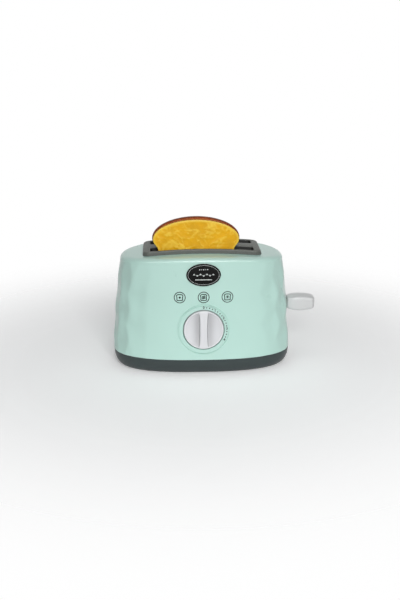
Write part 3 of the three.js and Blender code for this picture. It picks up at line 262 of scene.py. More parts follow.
# Badge
BADGE_LEVEL = 102.0
BADGE_HALF_WIDTH = 16.6
BADGE_HALF_HEIGHT = 11.0
BADGE_THICKNESS = 1.3
BADGE_EDGE = 0.5
BADGE_COUNT = 96
BADGE_RING_INSET = 1.5
BADGE_RING_LINE = 0.24
LEAF_STEP = 3.05
LEAF_HALF = 1.35
LEAF_THICKNESS = 0.75
LEAF_TILT = (0.9625, 0.121)
BADGE_DOT_RADII = (0.6, 0.42)
BADGE_DOT_STEP = 1.9
BADGE_DOT_LEVEL = 5.3
BADGE_BAR = ((-7.6, -5.0), (7.6, -5.0), (8.4, -4.6), (7.6, -4.2), (-7.6, -4.2), (-8.4, -4.6))

# Lift springs
SPRING_PLACES = {"lift_spring_front": (64.0, -8.0), "lift_spring_rear": (64.0, 8.0)}
SPRING_FOOT = 8.4
SPRING_TOP = 52.95
SPRING_RADIUS = 3.05
SPRING_WIRE = 0.9
SPRING_COILS = 10
SPRING_CLOSED_PITCH = 1.04
SPRING_STEPS = 28
SPRING_SIDES = 10

# Camera, fitted to the picture's frame
IMAGE_LONG_SIDE = 600
CAMERA_TARGET = (0.0, 0.0, 60.0)
CAMERA_DISTANCE = 901.2
CAMERA_AZIMUTH = -2.8
CAMERA_ELEVATION = 17.6
CAMERA_FOCAL_PIXELS = 881.1
CAMERA_OFFSET_PIXELS = (1.3, 2.3)
SENSOR_WIDTH = 36.0

# Stage, in metres. Each lamp: place, level that it is aimed at, size, watts
WHITE = (1.0, 1.0, 1.0, 1.0)
SKY_COLOUR = (0.95, 0.98, 1.0, 1.0)
BRIGHTEST_WAY = (0.0, -0.93, 0.37)
FLOOR_DEEP = (0.9, 0.9, 0.9, 1.0)
FLOOR_PALE = (0.93, 0.93, 0.93, 1.0)
FLOOR_REACH = 1.2
FLOOR_GAP = 0.0002
FLOOR_FADE = (0.1, 0.46)
LAMPS = (
    ("key_softbox", (0.12, -1.15, 0.62), 0.06, (0.5, 0.4), 8.9),
    ("top_softbox", (0.0, -0.1, 1.2), 0.06, (0.9, 0.5), 0.9),
    ("left_softbox", (-0.78, -0.72, 0.28), 0.07, (0.08, 0.6), 0.08),
    ("right_softbox", (0.92, -0.6, 0.36), 0.07, (0.12, 0.6), 0.2),
    ("back_softbox", (0.1, 1.35, 0.34), 0.06, (1.4, 0.4), 4.5),
    ("shoulder_strip", (0.0, -0.62, 0.95), 0.13, (1.6, 0.12), 17.0),
)


# Settings

def colour_setting(name, description, default):
    return FloatVectorProperty(
        name=name, description=description, default=default, subtype="COLOR_GAMMA", size=3, min=0.0, max=1.0,
    )


def length_setting(name, description, default, low, high):
    return FloatProperty(
        name=name, description=description, default=default * MM, min=low * MM, max=high * MM, unit="LENGTH",
    )


class ToasterColours(bpy.types.PropertyGroup):
    """Colours, as they look on screen."""

    mint: colour_setting("Mint", "Body shell", (0.735, 0.87, 0.83))
    slate: colour_setting("Slate", "Base tray", (0.225, 0.258, 0.26))
    bezel: colour_setting("Bezel grey", "Frame round the slots", (0.37, 0.382, 0.362))
    white: colour_setting("Knob white", "Timer knob", (0.87, 0.87, 0.88))
    lever: colour_setting("Lever white", "Lever knob", (0.82, 0.82, 0.82))
    badge: colour_setting("Badge black", "Oval badge", (0.04, 0.04, 0.04))
    ink: colour_setting("Ink", "Printed marks", (0.08, 0.13, 0.125))
    pale_ink: colour_setting("Pale ink", "Ornament and ring on the badge", (0.78, 0.8, 0.79))
    toast: colour_setting("Toast yellow", "Face of the toast", (0.94, 0.7, 0.05))
    # The strand colour is also used for the painted highlight on the toast's rim
    strand: colour_setting("Toast strands", "Pale strands on the toast", (0.97, 0.81, 0.27))
    crust: colour_setting("Crust", "Brown crust", (0.55, 0.235, 0.09))
    liner: colour_setting("Liner", "Walls inside the slots", (0.2, 0.21, 0.215))
    inner: colour_setting("Inner plastic", "Carriage and shelves", (0.8, 0.79, 0.75))
    gear: colour_setting("Gear plastic", "Wheels of the timer", (0.93, 0.91, 0.86))
    steel: colour_setting("Steel", "Screws, rods and plates", (0.73, 0.74, 0.755))


class ToasterSizes(bpy.types.PropertyGroup):
    """Sizes that a user may change without touching the jointed model."""

    facet_depth: length_setting("Facet depth", "Between high and low corners of the facets", 2.2, 0.0, 3.0)
    strand_height: length_setting("Strand height", "Relief of the strands on the toast", 0.5, 0.0, 1.2)
    ink_thickness: length_setting("Ink thickness", "How far printed marks stand out", 0.06, 0.02, 0.3)
    ink_line: length_setting("Ink line", "Width of the printed lines", 0.78, 0.1, 2.0)


def colours():
    return bpy.context.scene.toaster_colours


def size_mm(name):
    return getattr(bpy.context.scene.toaster_sizes, name) / MM


# Mesh building

def piece_from(name, vertices, faces):
    """A new object from vertices in millimetres, with its faces turned outwards."""
    mesh = bpy.data.meshes.new(name)
    mesh.from_pydata([Vector(v) * MM for v in vertices], [], faces)
    work = bmesh.new()
    work.from_mesh(mesh)
    bmesh.ops.remove_doubles(work, verts=work.verts, dist=1e-7)
    bmesh.ops.recalc_face_normals(work, faces=work.faces)
    work.to_mesh(mesh)
    work.free()
    piece = bpy.data.objects.new(name, mesh)
    bpy.context.scene.collection.objects.link(piece)
    return piece


def grid_faces(ring_count, points, first=0, rings_closed=False, points_closed=True):
    """Quads between neighbouring rings of points."""
    faces = []
    for ring in range(ring_count if rings_closed else ring_count - 1):
        below = first + ring * points
        above = first + (ring + 1) % ring_count * points
        for i in range(points if points_closed else points - 1):
            j = (i + 1) % points
            faces.append((below + i, below + j, above + j, above + i))
    return faces


def strip_cap(first, points):
    """Closes an outline that is mirrored front to back and starts at its left tip."""
    faces = []
    for i in range(points // 2):
        near = (first + i, first + i + 1)
        far = (first + (points - i) % points, first + points - i - 1)
        quad = [near[0], near[1], far[1], far[0]]
        faces.append(tuple(dict.fromkeys(quad)))
    return faces


def lofted(name, rings):
    """A closed piece through outlines of equal count, closed in strips at both ends."""
    count = len(rings[0])
    faces = grid_faces(len(rings), count) + strip_cap(0, count) + strip_cap((len(rings) - 1) * count, count)
    return piece_from(name, [point for ring in rings for point in ring], faces)


def fan_lofted(name, rings):
    """A closed piece through outlines of equal count, closed by a middle point at both ends."""
    points = len(rings[0])
    vertices = [tuple(p) for ring in rings for p in ring]
    faces = grid_faces(len(rings), points)
    for first, ring in ((0, rings[0]), ((len(rings) - 1) * points, rings[-1])):
        middle = len(vertices)
        vertices.append(tuple(np.mean(np.array(ring), axis=0)))
        faces += [(first + i, first + (i + 1) % points, middle) for i in range(points)]
    return piece_from(name, vertices, faces)


def block(name, low, high):
    corners = [(x, y, z) for x in (low[0], high[0]) for y in (low[1], high[1]) for z in (low[2], high[2])]
    faces = [(0, 1, 3, 2), (4, 6, 7, 5), (0, 4, 5, 1), (2, 3, 7, 6), (0, 2, 6, 4), (1, 5, 7, 3)]
    return piece_from(name, corners, faces)


def circle(radius, count):
    angles = np.arange(count) * 2 * np.pi / count
    return np.column_stack([radius * np.cos(angles), radius * np.sin(angles)])


def knob_disc(name, rear, front, radius, count=96):
    """A round bar along Y, in line with the knob."""
    return fan_lofted(name, [
        [(x, y, KNOB_LEVEL + z) for x, z in circle(radius, count)] for y in (rear, front)
    ])


def upright_bars(name, low, high, radius, count=48):
    """A round bar along Z at each base screw."""
    return [fan_lofted(name, [
        [(x + a, y + b, z) for a, b in circle(radius, count)] for z in (low, high)
    ]) for x, y in BASE_SCREWS]


def prism(name, outline, low, high):
    return lofted(name, [[(x, y, z) for x, y in outline] for z in (low, high)])


def combine(operation, piece, *others):
    """Cuts the others from the piece, or joins them to it, one after another."""
    for other in others:
        old, spent = piece.data, other.data
        step = piece.modifiers.new("combine", "BOOLEAN")
        step.operation = operation
        step.solver = "MANIFOLD"
        step.object = other
        bpy.context.view_layer.update()
        depsgraph = bpy.context.evaluated_depsgraph_get()
        piece.data = bpy.data.meshes.new_from_object(piece.evaluated_get(depsgraph), depsgraph=depsgraph)
        piece.modifiers.clear()
        if len(piece.data.vertices) == len(old.vertices):
            raise RuntimeError(f"{other.name} changed nothing on {piece.name}")
        bpy.data.objects.remove(other)
        bpy.data.meshes.remove(old)
        bpy.data.meshes.remove(spent)


def cut(piece, *others):
    combine("DIFFERENCE", piece, *others)


def join(piece, *others):
    combine("UNION", piece, *others)


def quarter_round(steps, first=1):
    """Points of a rounded edge as shares of its size: how far in, and how far up."""
    turns = [math.pi / 2 * step / steps for step in range(first, steps + 1)]
    return [(1 - math.cos(turn), math.sin(turn)) for turn in turns]


def clamped(value):
    return min(1.0, max(0.0, value))


def set_masks(piece, **masks):
    """Stores masks on a piece's points, each from a point's place in millimetres."""
    for name, mask in masks.items():
        layer = piece.data.attributes.new(name, "FLOAT", "POINT")
        for entry, vertex in zip(layer.data, piece.data.vertices):
            entry.value = mask(*(vertex.co / MM))


def finish_piece(piece, body, material, replaced=(), sharp_degrees=35.0):
    """Smooth shading with crisp corners, a material, a body and the solids it stands for."""
    mesh = piece.data
    mesh.shade_smooth()
    mesh.set_sharp_from_angle(angle=math.radians(sharp_degrees))
    mesh.materials.clear()
    mesh.materials.append(material_named(material))
    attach(piece, body)
    if replaced:
        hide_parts(*replaced)


# Body outline

def taper_at(level_share):
    curved = (1 - TAPER_LINEAR_SHARE) * level_share * level_share
    return 1 - TAPER_SHARE * (TAPER_LINEAR_SHARE * level_share + curved)


def crown_at(x):
    return CROWN_DROP * (np.asarray(x) / HALF_LENGTH) ** 2


def crowned(outline, level):
    return [(x, y, level - float(crown_at(x))) for x, y in outline]


def front_face_at(x, z):
    """The Y of the plain front at a place seen from the front."""
    taper = taper_at((np.asarray(z) - SEAM) / WALL_HEIGHT)
    along = np.minimum(1, np.abs(x) / (HALF_LENGTH * taper))
    return -HALF_DEPTH * taper * (1 - along ** OUTLINE_POWER) ** (1 / OUTLINE_POWER)


def rounded(values, power):
    """Turns the sines and cosines of a circle into those of a squarer curve."""
    return np.sign(values) * np.abs(values) ** (2 / power)


def column_place(column):
    """How far a column is along its side, and which side it is on."""
    counted = (np.asarray(column, float) - END_COLUMNS / 2) % COLUMNS
    side = np.where(counted >= FRONT_COLUMNS + END_COLUMNS, -1.0, 1.0)
    return counted % (FRONT_COLUMNS + END_COLUMNS), side


def outline_share(column):
    """A place on the outline as shares of the body's half length and half depth."""
    along, side = column_place(column)
    start_angle = math.acos(FACET_START_SHARE ** (OUTLINE_POWER / 2))
    x_plain = FACET_START_SHARE * (2 * along / FRONT_COLUMNS - 1)
    y_plain = -((1 - np.minimum(1, np.abs(x_plain)) ** OUTLINE_POWER) ** (1 / OUTLINE_POWER))
    angle = start_angle * (2 * (along - FRONT_COLUMNS) / END_COLUMNS - 1)
    plain = along <= FRONT_COLUMNS
    x = np.where(plain, x_plain, rounded(np.cos(angle), OUTLINE_POWER))
    y = np.where(plain, y_plain, rounded(np.sin(angle), OUTLINE_POWER))
    return side * x, side * y


def body_ring(columns, level_share, inset=0.0, lift=0.0):
    """Points of the body's outline at a share of the wall's height."""
    taper = taper_at(level_share)
    share_x, share_y = outline_share(columns)
    steep = OUTLINE_POWER - 1
    across = np.sign(share_x) * np.abs(share_x) ** steep / HALF_LENGTH
    back = np.sign(share_y) * np.abs(share_y) ** steep / HALF_DEPTH
    long = np.hypot(across, back)
    x = HALF_LENGTH * taper * share_x - across / long * inset
    y = HALF_DEPTH * taper * share_y - back / long * inset
    z = SEAM + WALL_HEIGHT * level_share - crown_at(x) * level_share + lift
    return np.column_stack([x, y, z])


def facet_corners(row):
    """The corners of one row of facets, half a column further on in every other row."""
    columns = np.arange(COLUMNS) + (0.5 if row % 2 else 0.0)
    relief = np.zeros(COLUMNS)
    if 0 < row < FACET_ROWS:
        along, side = column_place(columns)
        level = (np.floor(along) + side - row // 2 - row) % FACET_LEVELS
        raised = size_mm("facet_depth") * (FACET_RAISED_SHARE - level / (FACET_LEVELS - 1))
        from_tip = np.abs(along - FRONT_COLUMNS - END_COLUMNS / 2)
        plain = (along <= FRONT_COLUMNS) | ((side > 0) & (from_tip < 1))
        relief = np.where(plain, 0.0, -raised)
    return body_ring(columns, row / FACET_ROWS, inset=relief)


def facet_wall(columns, level_share):
    """Points of the faceted wall: each lies on the flat triangle between three corners."""
    row = min(int(level_share * FACET_ROWS), FACET_ROWS - 1)
    up = level_share * FACET_ROWS - row
    low, high = facet_corners(row), facet_corners(row + 1)
    leaning = row % 2 == 1
    slid = columns + (0.5 * up - 0.5 if leaning else -0.5 * up)
    first = np.floor(slid).astype(int)
    on = (slid - first)[:, None]
    first %= COLUMNS
    after = (first + 1) % COLUMNS
    if leaning:
        lower = (1 - on) * low[first] + (on - up) * low[after] + up * high[after]
        upper = (1 - up) * low[first] + on * high[after] + (up - on) * high[first]
        return np.where(on >= up, lower, upper)
    lower = (1 - on - up) * low[first] + on * low[after] + up * high[first]
    upper = (1 - up) * low[after] + (1 - on) * high[first] + (on + up - 1) * high[after]
    return np.where(on + up <= 1, lower, upper)


def outer_wall_rings(columns):
    """The wall with softened facets round both ends."""
    shares = np.arange(FACET_ROWS * STEPS_PER_ROW + 1) / (FACET_ROWS * STEPS_PER_ROW)
    smooth = np.array([body_ring(columns, share) for share in shares])
    faceted = np.array([facet_wall(columns, share) for share in shares])
    along, _ = column_place(columns)
    from_plain = np.minimum(along - FRONT_COLUMNS, FRONT_COLUMNS + END_COLUMNS - along)
    weight = np.clip(from_plain / FACET_FADE_COLUMNS + 0.5, 0, 1)
    offset = (faceted - smooth) * (weight ** 2 * (3 - 2 * weight))[None, :, None]
    for _ in range(SOFTENING_ROUNDS):
        offset = (np.roll(offset, 1, 1) + 2 * offset + np.roll(offset, -1, 1)) / 4
        middle = (offset[:-2] + 2 * offset[1:-1] + offset[2:]) / 4
        offset = np.concatenate([offset[:1], middle, offset[-1:]])
    return list(smooth + offset)


def shoulder_rings(columns, wall, steps):
    return [
        body_ring(columns, 1.0, inset=wall + SHOULDER_INSET * turned_in, lift=SHOULDER_RISE * up - wall)
        for turned_in, up in quarter_round(steps)
    ]


def rounded_rectangle(half_x, half_y, corner, arc_steps=8, straight_steps=40):
    """An outline from its left tip along the front, the right tip and the back."""
    arc = [(
        half_x - corner + corner * math.sin(math.pi / 2 * i / arc_steps),
        -half_y + corner - corner * math.cos(math.pi / 2 * i / arc_steps),
    ) for i in range(arc_steps + 1)]
    straight = [
        ((half_x - corner) * (2 * (i + 1) / straight_steps - 1), -half_y)
        for i in range(straight_steps - 1)
    ]
    front = [(-x, y) for x, y in reversed(arc)] + straight + arc
    back = [(x, -y) for x, y in reversed(front)]
    return [(-half_x, 0.0)] + front + [(half_x, 0.0)] + back


# Shader nodes

def shade(colour, factor=1.0):
    """A screen colour, paler or deeper by a factor, as the scene-linear values that a shader takes."""
    values = [c / 12.92 if c <= 0.04045 else ((c + 0.055) / 1.055) ** 2.4 for c in colour]
    return (*[min(1.0, c * factor) for c in values], 1.0)


def feed(tree, socket, value):
    """Links an output to an input, or sets the input's own value."""
    if isinstance(value, bpy.types.NodeSocket):
        tree.links.new(value, socket)
    else:
        socket.default_value = value


def add_node(tree, kind, values=None, **settings):
    node = tree.nodes.new(kind)
    for name, value in settings.items():
        setattr(node, name, value)
    for name, value in (values or {}).items():
        feed(tree, node.inputs[name], value)
    return node


def object_place(tree):
    return add_node(tree, "ShaderNodeTexCoord").outputs["Object"]


def attribute(tree, name):
    return add_node(tree, "ShaderNodeAttribute", attribute_name=name).outputs["Fac"]


def noise_texture(tree, place, output="Fac", **values):
    return add_node(tree, "ShaderNodeTexNoise", {"Vector": place, **values}).outputs[output]


def worked_out(tree, operation, *values):
    return add_node(tree, "ShaderNodeMath", dict(enumerate(values)), operation=operation).outputs[0]


def vector_math(tree, operation, values, output="Vector"):
    return add_node(tree, "ShaderNodeVectorMath", values, operation=operation).outputs[output]


def mapped(tree, value, low, high, to_low=0.0, to_high=1.0, curve="LINEAR"):
    """A value whose range from low to high becomes another range."""
    return add_node(tree, "ShaderNodeMapRange", {
        "Value": value, "From Min": low, "From Max": high, "To Min": to_low, "To Max": to_high,
    }, interpolation_type=curve).outputs["Result"]


def blend(tree, share, first, second):
    """The first colour, turned into the second by a share."""
    return add_node(tree, "ShaderNodeMix", {0: share, 6: first, 7: second}, data_type="RGBA").outputs[2]


# Effects shared by materials

FLOAT = "NodeSocketFloat"
COLOUR = "NodeSocketColor"
VECTOR = "NodeSocketVector"
MID_GREY = (0.5, 0.5, 0.5, 1.0)
PLASTIC_WAVINESS = 0.35


def new_group(name, inputs, outputs):
    """A new group, with the sockets that come into it and those that leave it."""
    tree = bpy.data.node_groups.new(name, "ShaderNodeTree")
    for socket_name, kind, default in inputs:
        socket = tree.interface.new_socket(name=socket_name, in_out="INPUT", socket_type=kind)
        socket.default_value = default
    for socket_name, kind in outputs:
        tree.interface.new_socket(name=socket_name, in_out="OUTPUT", socket_type=kind)
    return tree, tree.nodes.new("NodeGroupInput").outputs, tree.nodes.new("NodeGroupOutput").inputs


def build_grain_group():
    """Fine moulded grain, as a height and as a mask."""
    tree, given, made = new_group(
        "moulded_grain",
        [("Scale", FLOAT, 900.0), ("Waviness", FLOAT, 0.3)],
        [("Height", FLOAT), ("Mask", FLOAT)],
    )
    place = object_place(tree)
    fine = noise_texture(tree, place, Scale=given["Scale"], Detail=3.0, Roughness=0.6)
    wide = noise_texture(tree, place, Scale=60.0, Detail=2.0)
    height = add_node(tree, "ShaderNodeMix", {0: given["Waviness"], 2: fine, 3: wide}, data_type="FLOAT")
    feed(tree, made["Height"], height.outputs[0])
    feed(tree, made["Mask"], fine)
    return tree


def build_drift_group():
    """Slow drift of a colour, darker in places, as in a large moulding."""
    tree, given, made = new_group(
        "colour_drift",
        [("Colour", COLOUR, MID_GREY), ("Deep colour", COLOUR, MID_GREY), ("Scale", FLOAT, 25.0),
         ("Share", FLOAT, 0.3)],
        [("Colour", COLOUR)],
    )
    cloud = noise_texture(tree, object_place(tree), Scale=given["Scale"], Detail=4.0, Roughness=0.55)
    share = worked_out(tree, "MULTIPLY", mapped(tree, cloud, 0.35, 0.65), given["Share"])
    feed(tree, made["Colour"], blend(tree, share, given["Colour"], given["Deep colour"]))
    return tree


def build_edge_group():
    """Paler worn corners."""
    tree, given, made = new_group(
        "edge_wear",
        [("Colour", COLOUR, MID_GREY), ("Worn colour", COLOUR, MID_GREY), ("Share", FLOAT, 0.3)],
        [("Colour", COLOUR)],
    )
    ridge = add_node(tree, "ShaderNodeNewGeometry").outputs["Pointiness"]
    share = worked_out(tree, "MULTIPLY", mapped(tree, ridge, 0.52, 0.6), given["Share"])
    feed(tree, made["Colour"], blend(tree, share, given["Colour"], given["Worn colour"]))
    return tree


def build_brushed_group():
    """Fine lines along the way that a metal was drawn or rolled."""
    tree, given, made = new_group(
        "brushed_lines", [("Scale", FLOAT, 500.0), ("Stretch", VECTOR, (1.0, 1.0, 1.0))], [("Mask", FLOAT)],
    )
    mapping = add_node(tree, "ShaderNodeMapping", {"Vector": object_place(tree), "Scale": given["Stretch"]})
    lines = noise_texture(tree, mapping.outputs["Vector"], Scale=given["Scale"], Detail=3.0)
    feed(tree, made["Mask"], lines)
    return tree


GROUP_BUILDERS = {
    "brushed_lines": build_brushed_group,
    "moulded_grain": build_grain_group,
    "colour_drift": build_drift_group,
    "edge_wear": build_edge_group,
}


def effect(tree, name, values):
    """The outputs of a shared effect that is placed in a material with the material's own values."""
    group = bpy.data.node_groups.get(name) or GROUP_BUILDERS[name]()
    return add_node(tree, "ShaderNodeGroup", values, node_tree=group).outputs


def drifting(tree, colour, deep, scale, share):
    return effect(tree, "colour_drift", {
        "Colour": shade(colour), "Deep colour": shade(colour, deep), "Scale": scale, "Share": share,
    })["Colour"]


def worn(tree, base, colour, pale, share):
    return effect(tree, "edge_wear", {
        "Colour": base, "Worn colour": shade(colour, pale), "Share": share,
    })["Colour"]


def add_relief(tree, surface, height, depth, mask, smooth, rough):
    """Bump of a depth in millimetres, and roughness that follows a mask."""
    bump = add_node(tree, "ShaderNodeBump", {"Height": height, "Distance": depth * MM, "Strength": 1.0})
    feed(tree, surface["Normal"], bump.outputs["Normal"])
    feed(tree, surface["Roughness"], mapped(tree, mask, 0.3, 0.7, smooth, rough))


def add_grain(tree, surface, scale, waviness, depth, smooth, rough):
    grain = effect(tree, "moulded_grain", {"Scale": scale, "Waviness": waviness})
    add_relief(tree, surface, grain["Height"], depth, grain["Mask"], smooth, rough)


# Materials

Plastic = namedtuple(
    "Plastic", "colour roughness grain_scale grain_depth wear drift patchy coat ior hollow",
    defaults=(0.2, 0.0, 1.36, None),
)
Metal = namedtuple("Metal", "shade roughness brushing")

PLASTICS = {
    "mint_gloss": Plastic("mint", 0.3, 32.0, 0.03, wear=0.0, drift=0.2, patchy=0.1, coat=0.26),
    "slate_satin": Plastic("slate", 0.4, 900.0, 0.02, wear=0.35, drift=0.3),
    # The knob white carries painted shade at the foot of the knob's dishes
    "white_satin": Plastic("white", 0.34, 500.0, 0.008, wear=0.1, drift=0.15, hollow=0.66),
    "lever_gloss": Plastic("lever", 0.34, 90.0, 0.02, wear=0.0, drift=0.12, patchy=0.1),
    "badge_gloss": Plastic("badge", 0.3, 400.0, 0.006, wear=0.2, drift=0.2, ior=1.22),
    "ink_dark": Plastic("ink", 0.5, 1500.0, 0.004, wear=0.1, drift=0.3),
    "ink_pale": Plastic("pale_ink", 0.5, 1500.0, 0.004, wear=0.1, drift=0.3),
    "liner_satin": Plastic("liner", 0.55, 700.0, 0.02, wear=0.3, drift=0.4),
    "inner_natural": Plastic("inner", 0.48, 600.0, 0.015, wear=0.2, drift=0.3),
    "gear_natural": Plastic("gear", 0.42, 600.0, 0.01, wear=0.2, drift=0.25),
}

METALS = {
    "zinc_steel": Metal(1.0, 0.34, (1.0, 1.0, 0.12)),
    "coil_steel": Metal(0.86, 0.3, (0.3, 0.3, 1.0)),
}


def new_material(name, **values):
    """A material with one shader, and that shader's inputs."""
    material = bpy.data.materials.new(name)
    material.use_nodes = True
    tree = material.node_tree
    tree.nodes.clear()
    values = {socket.replace("_", " "): value for socket, value in values.items()}
    surface = add_node(tree, "ShaderNodeBsdfPrincipled", values)
    add_node(tree, "ShaderNodeOutputMaterial", {"Surface": surface.outputs["BSDF"]})
    return material, tree, surface.inputs


def moulded_plastic(name):
    """Moulded plastic: drifting colour, paler corners, grain in its bump and its gloss."""
    look = PLASTICS[name]
    colour = getattr(colours(), look.colour)
    _, tree, surface = new_material(name, Coat_Weight=look.coat, Coat_Roughness=0.08, IOR=look.ior)
    base = drifting(tree, colour, deep=0.9, scale=22.0, share=look.drift)
    if look.wear:
        base = worn(tree, base, colour, pale=1.22, share=look.wear)
    # Painted shade: deeper colour at the foot of the knob's dishes
    if look.hollow:
        base = blend(tree, attribute(tree, "hollow"), base, shade(colour, look.hollow))
    feed(tree, surface["Base Color"], base)
    smooth, rough = look.roughness * (1 - look.patchy), look.roughness * (1 + look.patchy)
    add_grain(tree, surface, look.grain_scale, PLASTIC_WAVINESS, look.grain_depth, smooth, rough)


def metal(name):
    """Drawn or rolled steel: fine lines along one way, with dull patches."""
    look = METALS[name]
    colour = [c * look.shade for c in colours().steel]
    _, tree, surface = new_material(name, Metallic=1.0)
    drifted = drifting(tree, colour, deep=0.72, scale=90.0, share=0.5)
    feed(tree, surface["Base Color"], worn(tree, drifted, colour, pale=1.25, share=0.5))
    lines = effect(tree, "brushed_lines", {"Scale": 500.0, "Stretch": look.brushing})["Mask"]
    smooth, rough = look.roughness * 0.75, look.roughness * 1.3
    add_relief(tree, surface, height=lines, depth=0.01, mask=lines, smooth=smooth, rough=rough)


def speckled_bezel(name):
    """Warm grey plastic with a fine pale speckle, and painted shade that makes it nearly black inside the
    slots and darker down its outer side.
    """
    grey = colours().bezel
    _, tree, surface = new_material(name, IOR=1.36)
    specks = add_node(tree, "ShaderNodeTexVoronoi", {"Vector": object_place(tree), "Scale": 1500.0})
    speck = mapped(tree, specks.outputs["Distance"], 0.32, 0.12, 0.0, 0.55)
    drifted = drifting(tree, grey, deep=0.82, scale=40.0, share=0.35)
    base = worn(tree, blend(tree, speck, drifted, shade(grey, 2.3)), grey, pale=1.6, share=0.4)
    # Painted shade: nearly black deep inside the slots, and darker down the bezel's outer chamfer
    feed(tree, surface["Base Color"], blend(tree, attribute(tree, "slot_depth"), base, shade(grey, 0.12)))
    add_grain(tree, surface, scale=1100.0, waviness=0.2, depth=0.05, smooth=0.42, rough=0.6)


def toast_strands(name):
    """Yellow plastic with pale, swirling strands, deeper orange in its hollows and a painted highlight along
    its rim.
    """
    yellow, pale = colours().toast, colours().strand
    _, tree, surface = new_material(name, IOR=1.34)
    place = object_place(tree)
    warp = noise_texture(tree, place, "Color", Scale=45.0, Detail=2.0)
    centred = vector_math(tree, "SUBTRACT", {0: warp, 1: (0.5, 0.5, 0.5)})
    pushed = vector_math(tree, "SCALE", {0: centred, "Scale": 0.03})
    moved = vector_math(tree, "ADD", {0: place, 1: pushed})
    streaks = noise_texture(tree, moved, Scale=110.0, Detail=2.0, Roughness=0.45, Distortion=0.9)
    ridges = mapped(tree, streaks, 0.54, 0.72, 0.0, 0.75)
    raised = mapped(tree, attribute(tree, "strand"), 0.35, 0.95, 0.0, 0.9)
    yellows = drifting(tree, yellow, deep=0.76, scale=48.0, share=0.8)
    stranded = blend(tree, worked_out(tree, "MAXIMUM", ridges, raised), yellows, shade(pale))
    # Painted highlight: the rim mask turns the face pale near its border
    feed(tree, surface["Base Color"], blend(tree, attribute(tree, "rim"), stranded, shade(pale, 0.94)))
    add_grain(tree, surface, scale=420.0, waviness=0.5, depth=0.08, smooth=0.3, rough=0.5)


def glossy_crust(name):
    """Glossy brown plastic, nearly black in places as baked crust is."""
    brown = colours().crust
    _, tree, surface = new_material(name, IOR=1.42, Specular_Tint=(1.0, 0.4, 0.16, 1.0))
    drifted = drifting(tree, brown, deep=0.35, scale=38.0, share=0.7)
    feed(tree, surface["Base Color"], worn(tree, drifted, brown, pale=1.7, share=0.4))
    add_grain(tree, surface, scale=300.0, waviness=0.6, depth=0.06, smooth=0.24, rough=0.42)


MATERIAL_BUILDERS = {
    **dict.fromkeys(PLASTICS, moulded_plastic),
    **dict.fromkeys(METALS, metal),
    "bezel_speckled": speckled_bezel,
    "toast_strands": toast_strands,
    "crust_gloss": glossy_crust,
}


def material_named(name):
    """The material of that name, which is made when it is first asked for."""
    if name not in bpy.data.materials:
        MATERIAL_BUILDERS[name](name)
    return bpy.data.materials[name]


# Pieces

def build_body_shell():
    fine, coarse = np.arange(COLUMNS * STEPS_PER_COLUMN) / STEPS_PER_COLUMN, np.arange(COLUMNS * 2) / 2
    shell = lofted("mint_shell", outer_wall_rings(fine) + shoulder_rings(fine, 0.0, SHOULDER_STEPS))
    inside = [body_ring(coarse, 0.0, inset=SHELL_WALL, lift=-OVERRUN)]
    inside += [body_ring(coarse, share, inset=SHELL_WALL) for share in WALL_SHARES]
    cut(shell, lofted("shell_inside", inside + shoulder_rings(coarse, SHELL_WALL, 4)))
    pad = block(
        "channel_pad",
        (CHANNEL_FLOOR - SHELL_WALL, -CHANNEL_HALF_DEPTH - SHELL_WALL, CHANNEL_BOTTOM - SHELL_WALL),
        (CHANNEL_FLOOR + RUNNING_GAP, CHANNEL_HALF_DEPTH + SHELL_WALL, CHANNEL_TOP + SHELL_WALL),
    )
    combine("INTERSECT", pad, lofted("pad_limit", [
        body_ring(coarse, share, inset=FACET_CLEARANCE) for share in WALL_SHARES
    ]))
    recess_floor = LAND_FACE + RECESS_DEPTH
    recess_radius = KNOB_RADIUS + RECESS_GAP
    cup_radius = recess_radius + RECESS_WALL
    stem_room = STEM_HALF_WIDTH + RUNNING_GAP
    join(
        shell, pad, *upright_bars("shell_post", SEAM, SEAM + SHELL_POST_HEIGHT, BOSS_RADIUS),
        knob_disc("land", LAND_FACE + SHELL_WALL, LAND_FACE, LAND_RADIUS, FINE_COUNT),
        knob_disc("recess_cup", recess_floor + RECESS_WALL, LAND_FACE, cup_radius, FINE_COUNT),
    )
    near, radius = LAND_FACE - SHORT_OVERRUN, LAND_GROOVE_RADIUS
    groove = knob_disc("land_groove", LAND_FACE + LAND_GROOVE_DEPTH, near, radius, FINE_COUNT)
    core_ends = (LAND_FACE + OVERRUN, LAND_FACE - OVERRUN)
    cut(groove, knob_disc("land_core", *core_ends, radius - LAND_GROOVE_WIDTH, FINE_COUNT))
    opening = rounded_rectangle(
        BEZEL_HALF_LENGTH - SLEEVE_INSET + SEAT_GAP, BEZEL_HALF_DEPTH - SLEEVE_INSET + SEAT_GAP,
        BEZEL_CORNER - SLEEVE_INSET,
    )
    cut(
        shell,
        knob_disc("land_front", LAND_FACE, LAND_FACE - OVERRUN, LAND_RADIUS, FINE_COUNT),
        groove,
        knob_disc("knob_recess", recess_floor, LAND_FACE - SHORT_OVERRUN, recess_radius, FINE_COUNT),
        prism("top_opening", opening, SLEEVE_BOTTOM - OVERRUN, BEZEL_TOP),
        knob_disc("arbor_hole", recess_floor + OVERRUN, LAND_FACE - OVERRUN, ARBOR_HOLE_RADIUS),
        block(
            "channel",
            (CHANNEL_FLOOR, -CHANNEL_HALF_DEPTH, CHANNEL_BOTTOM),
            (HALF_LENGTH + OVERRUN, CHANNEL_HALF_DEPTH, CHANNEL_TOP),
        ),
        block(
            "stem_slot",
            (CHANNEL_FLOOR - OVERRUN, -stem_room, STEM_BOTTOM - LEVER_TRAVEL - RUNNING_GAP),
            (HALF_LENGTH + OVERRUN, stem_room, STEM_TOP + RUNNING_GAP),
        ),
        *upright_bars("pilot", SEAM - OVERRUN, SEAM + PILOT_DEPTH, SCREW_RADIUS + SEAT_GAP),
    )
    finish_piece(shell, "casing", "mint_gloss", ["body_shell"], sharp_degrees=32.0)


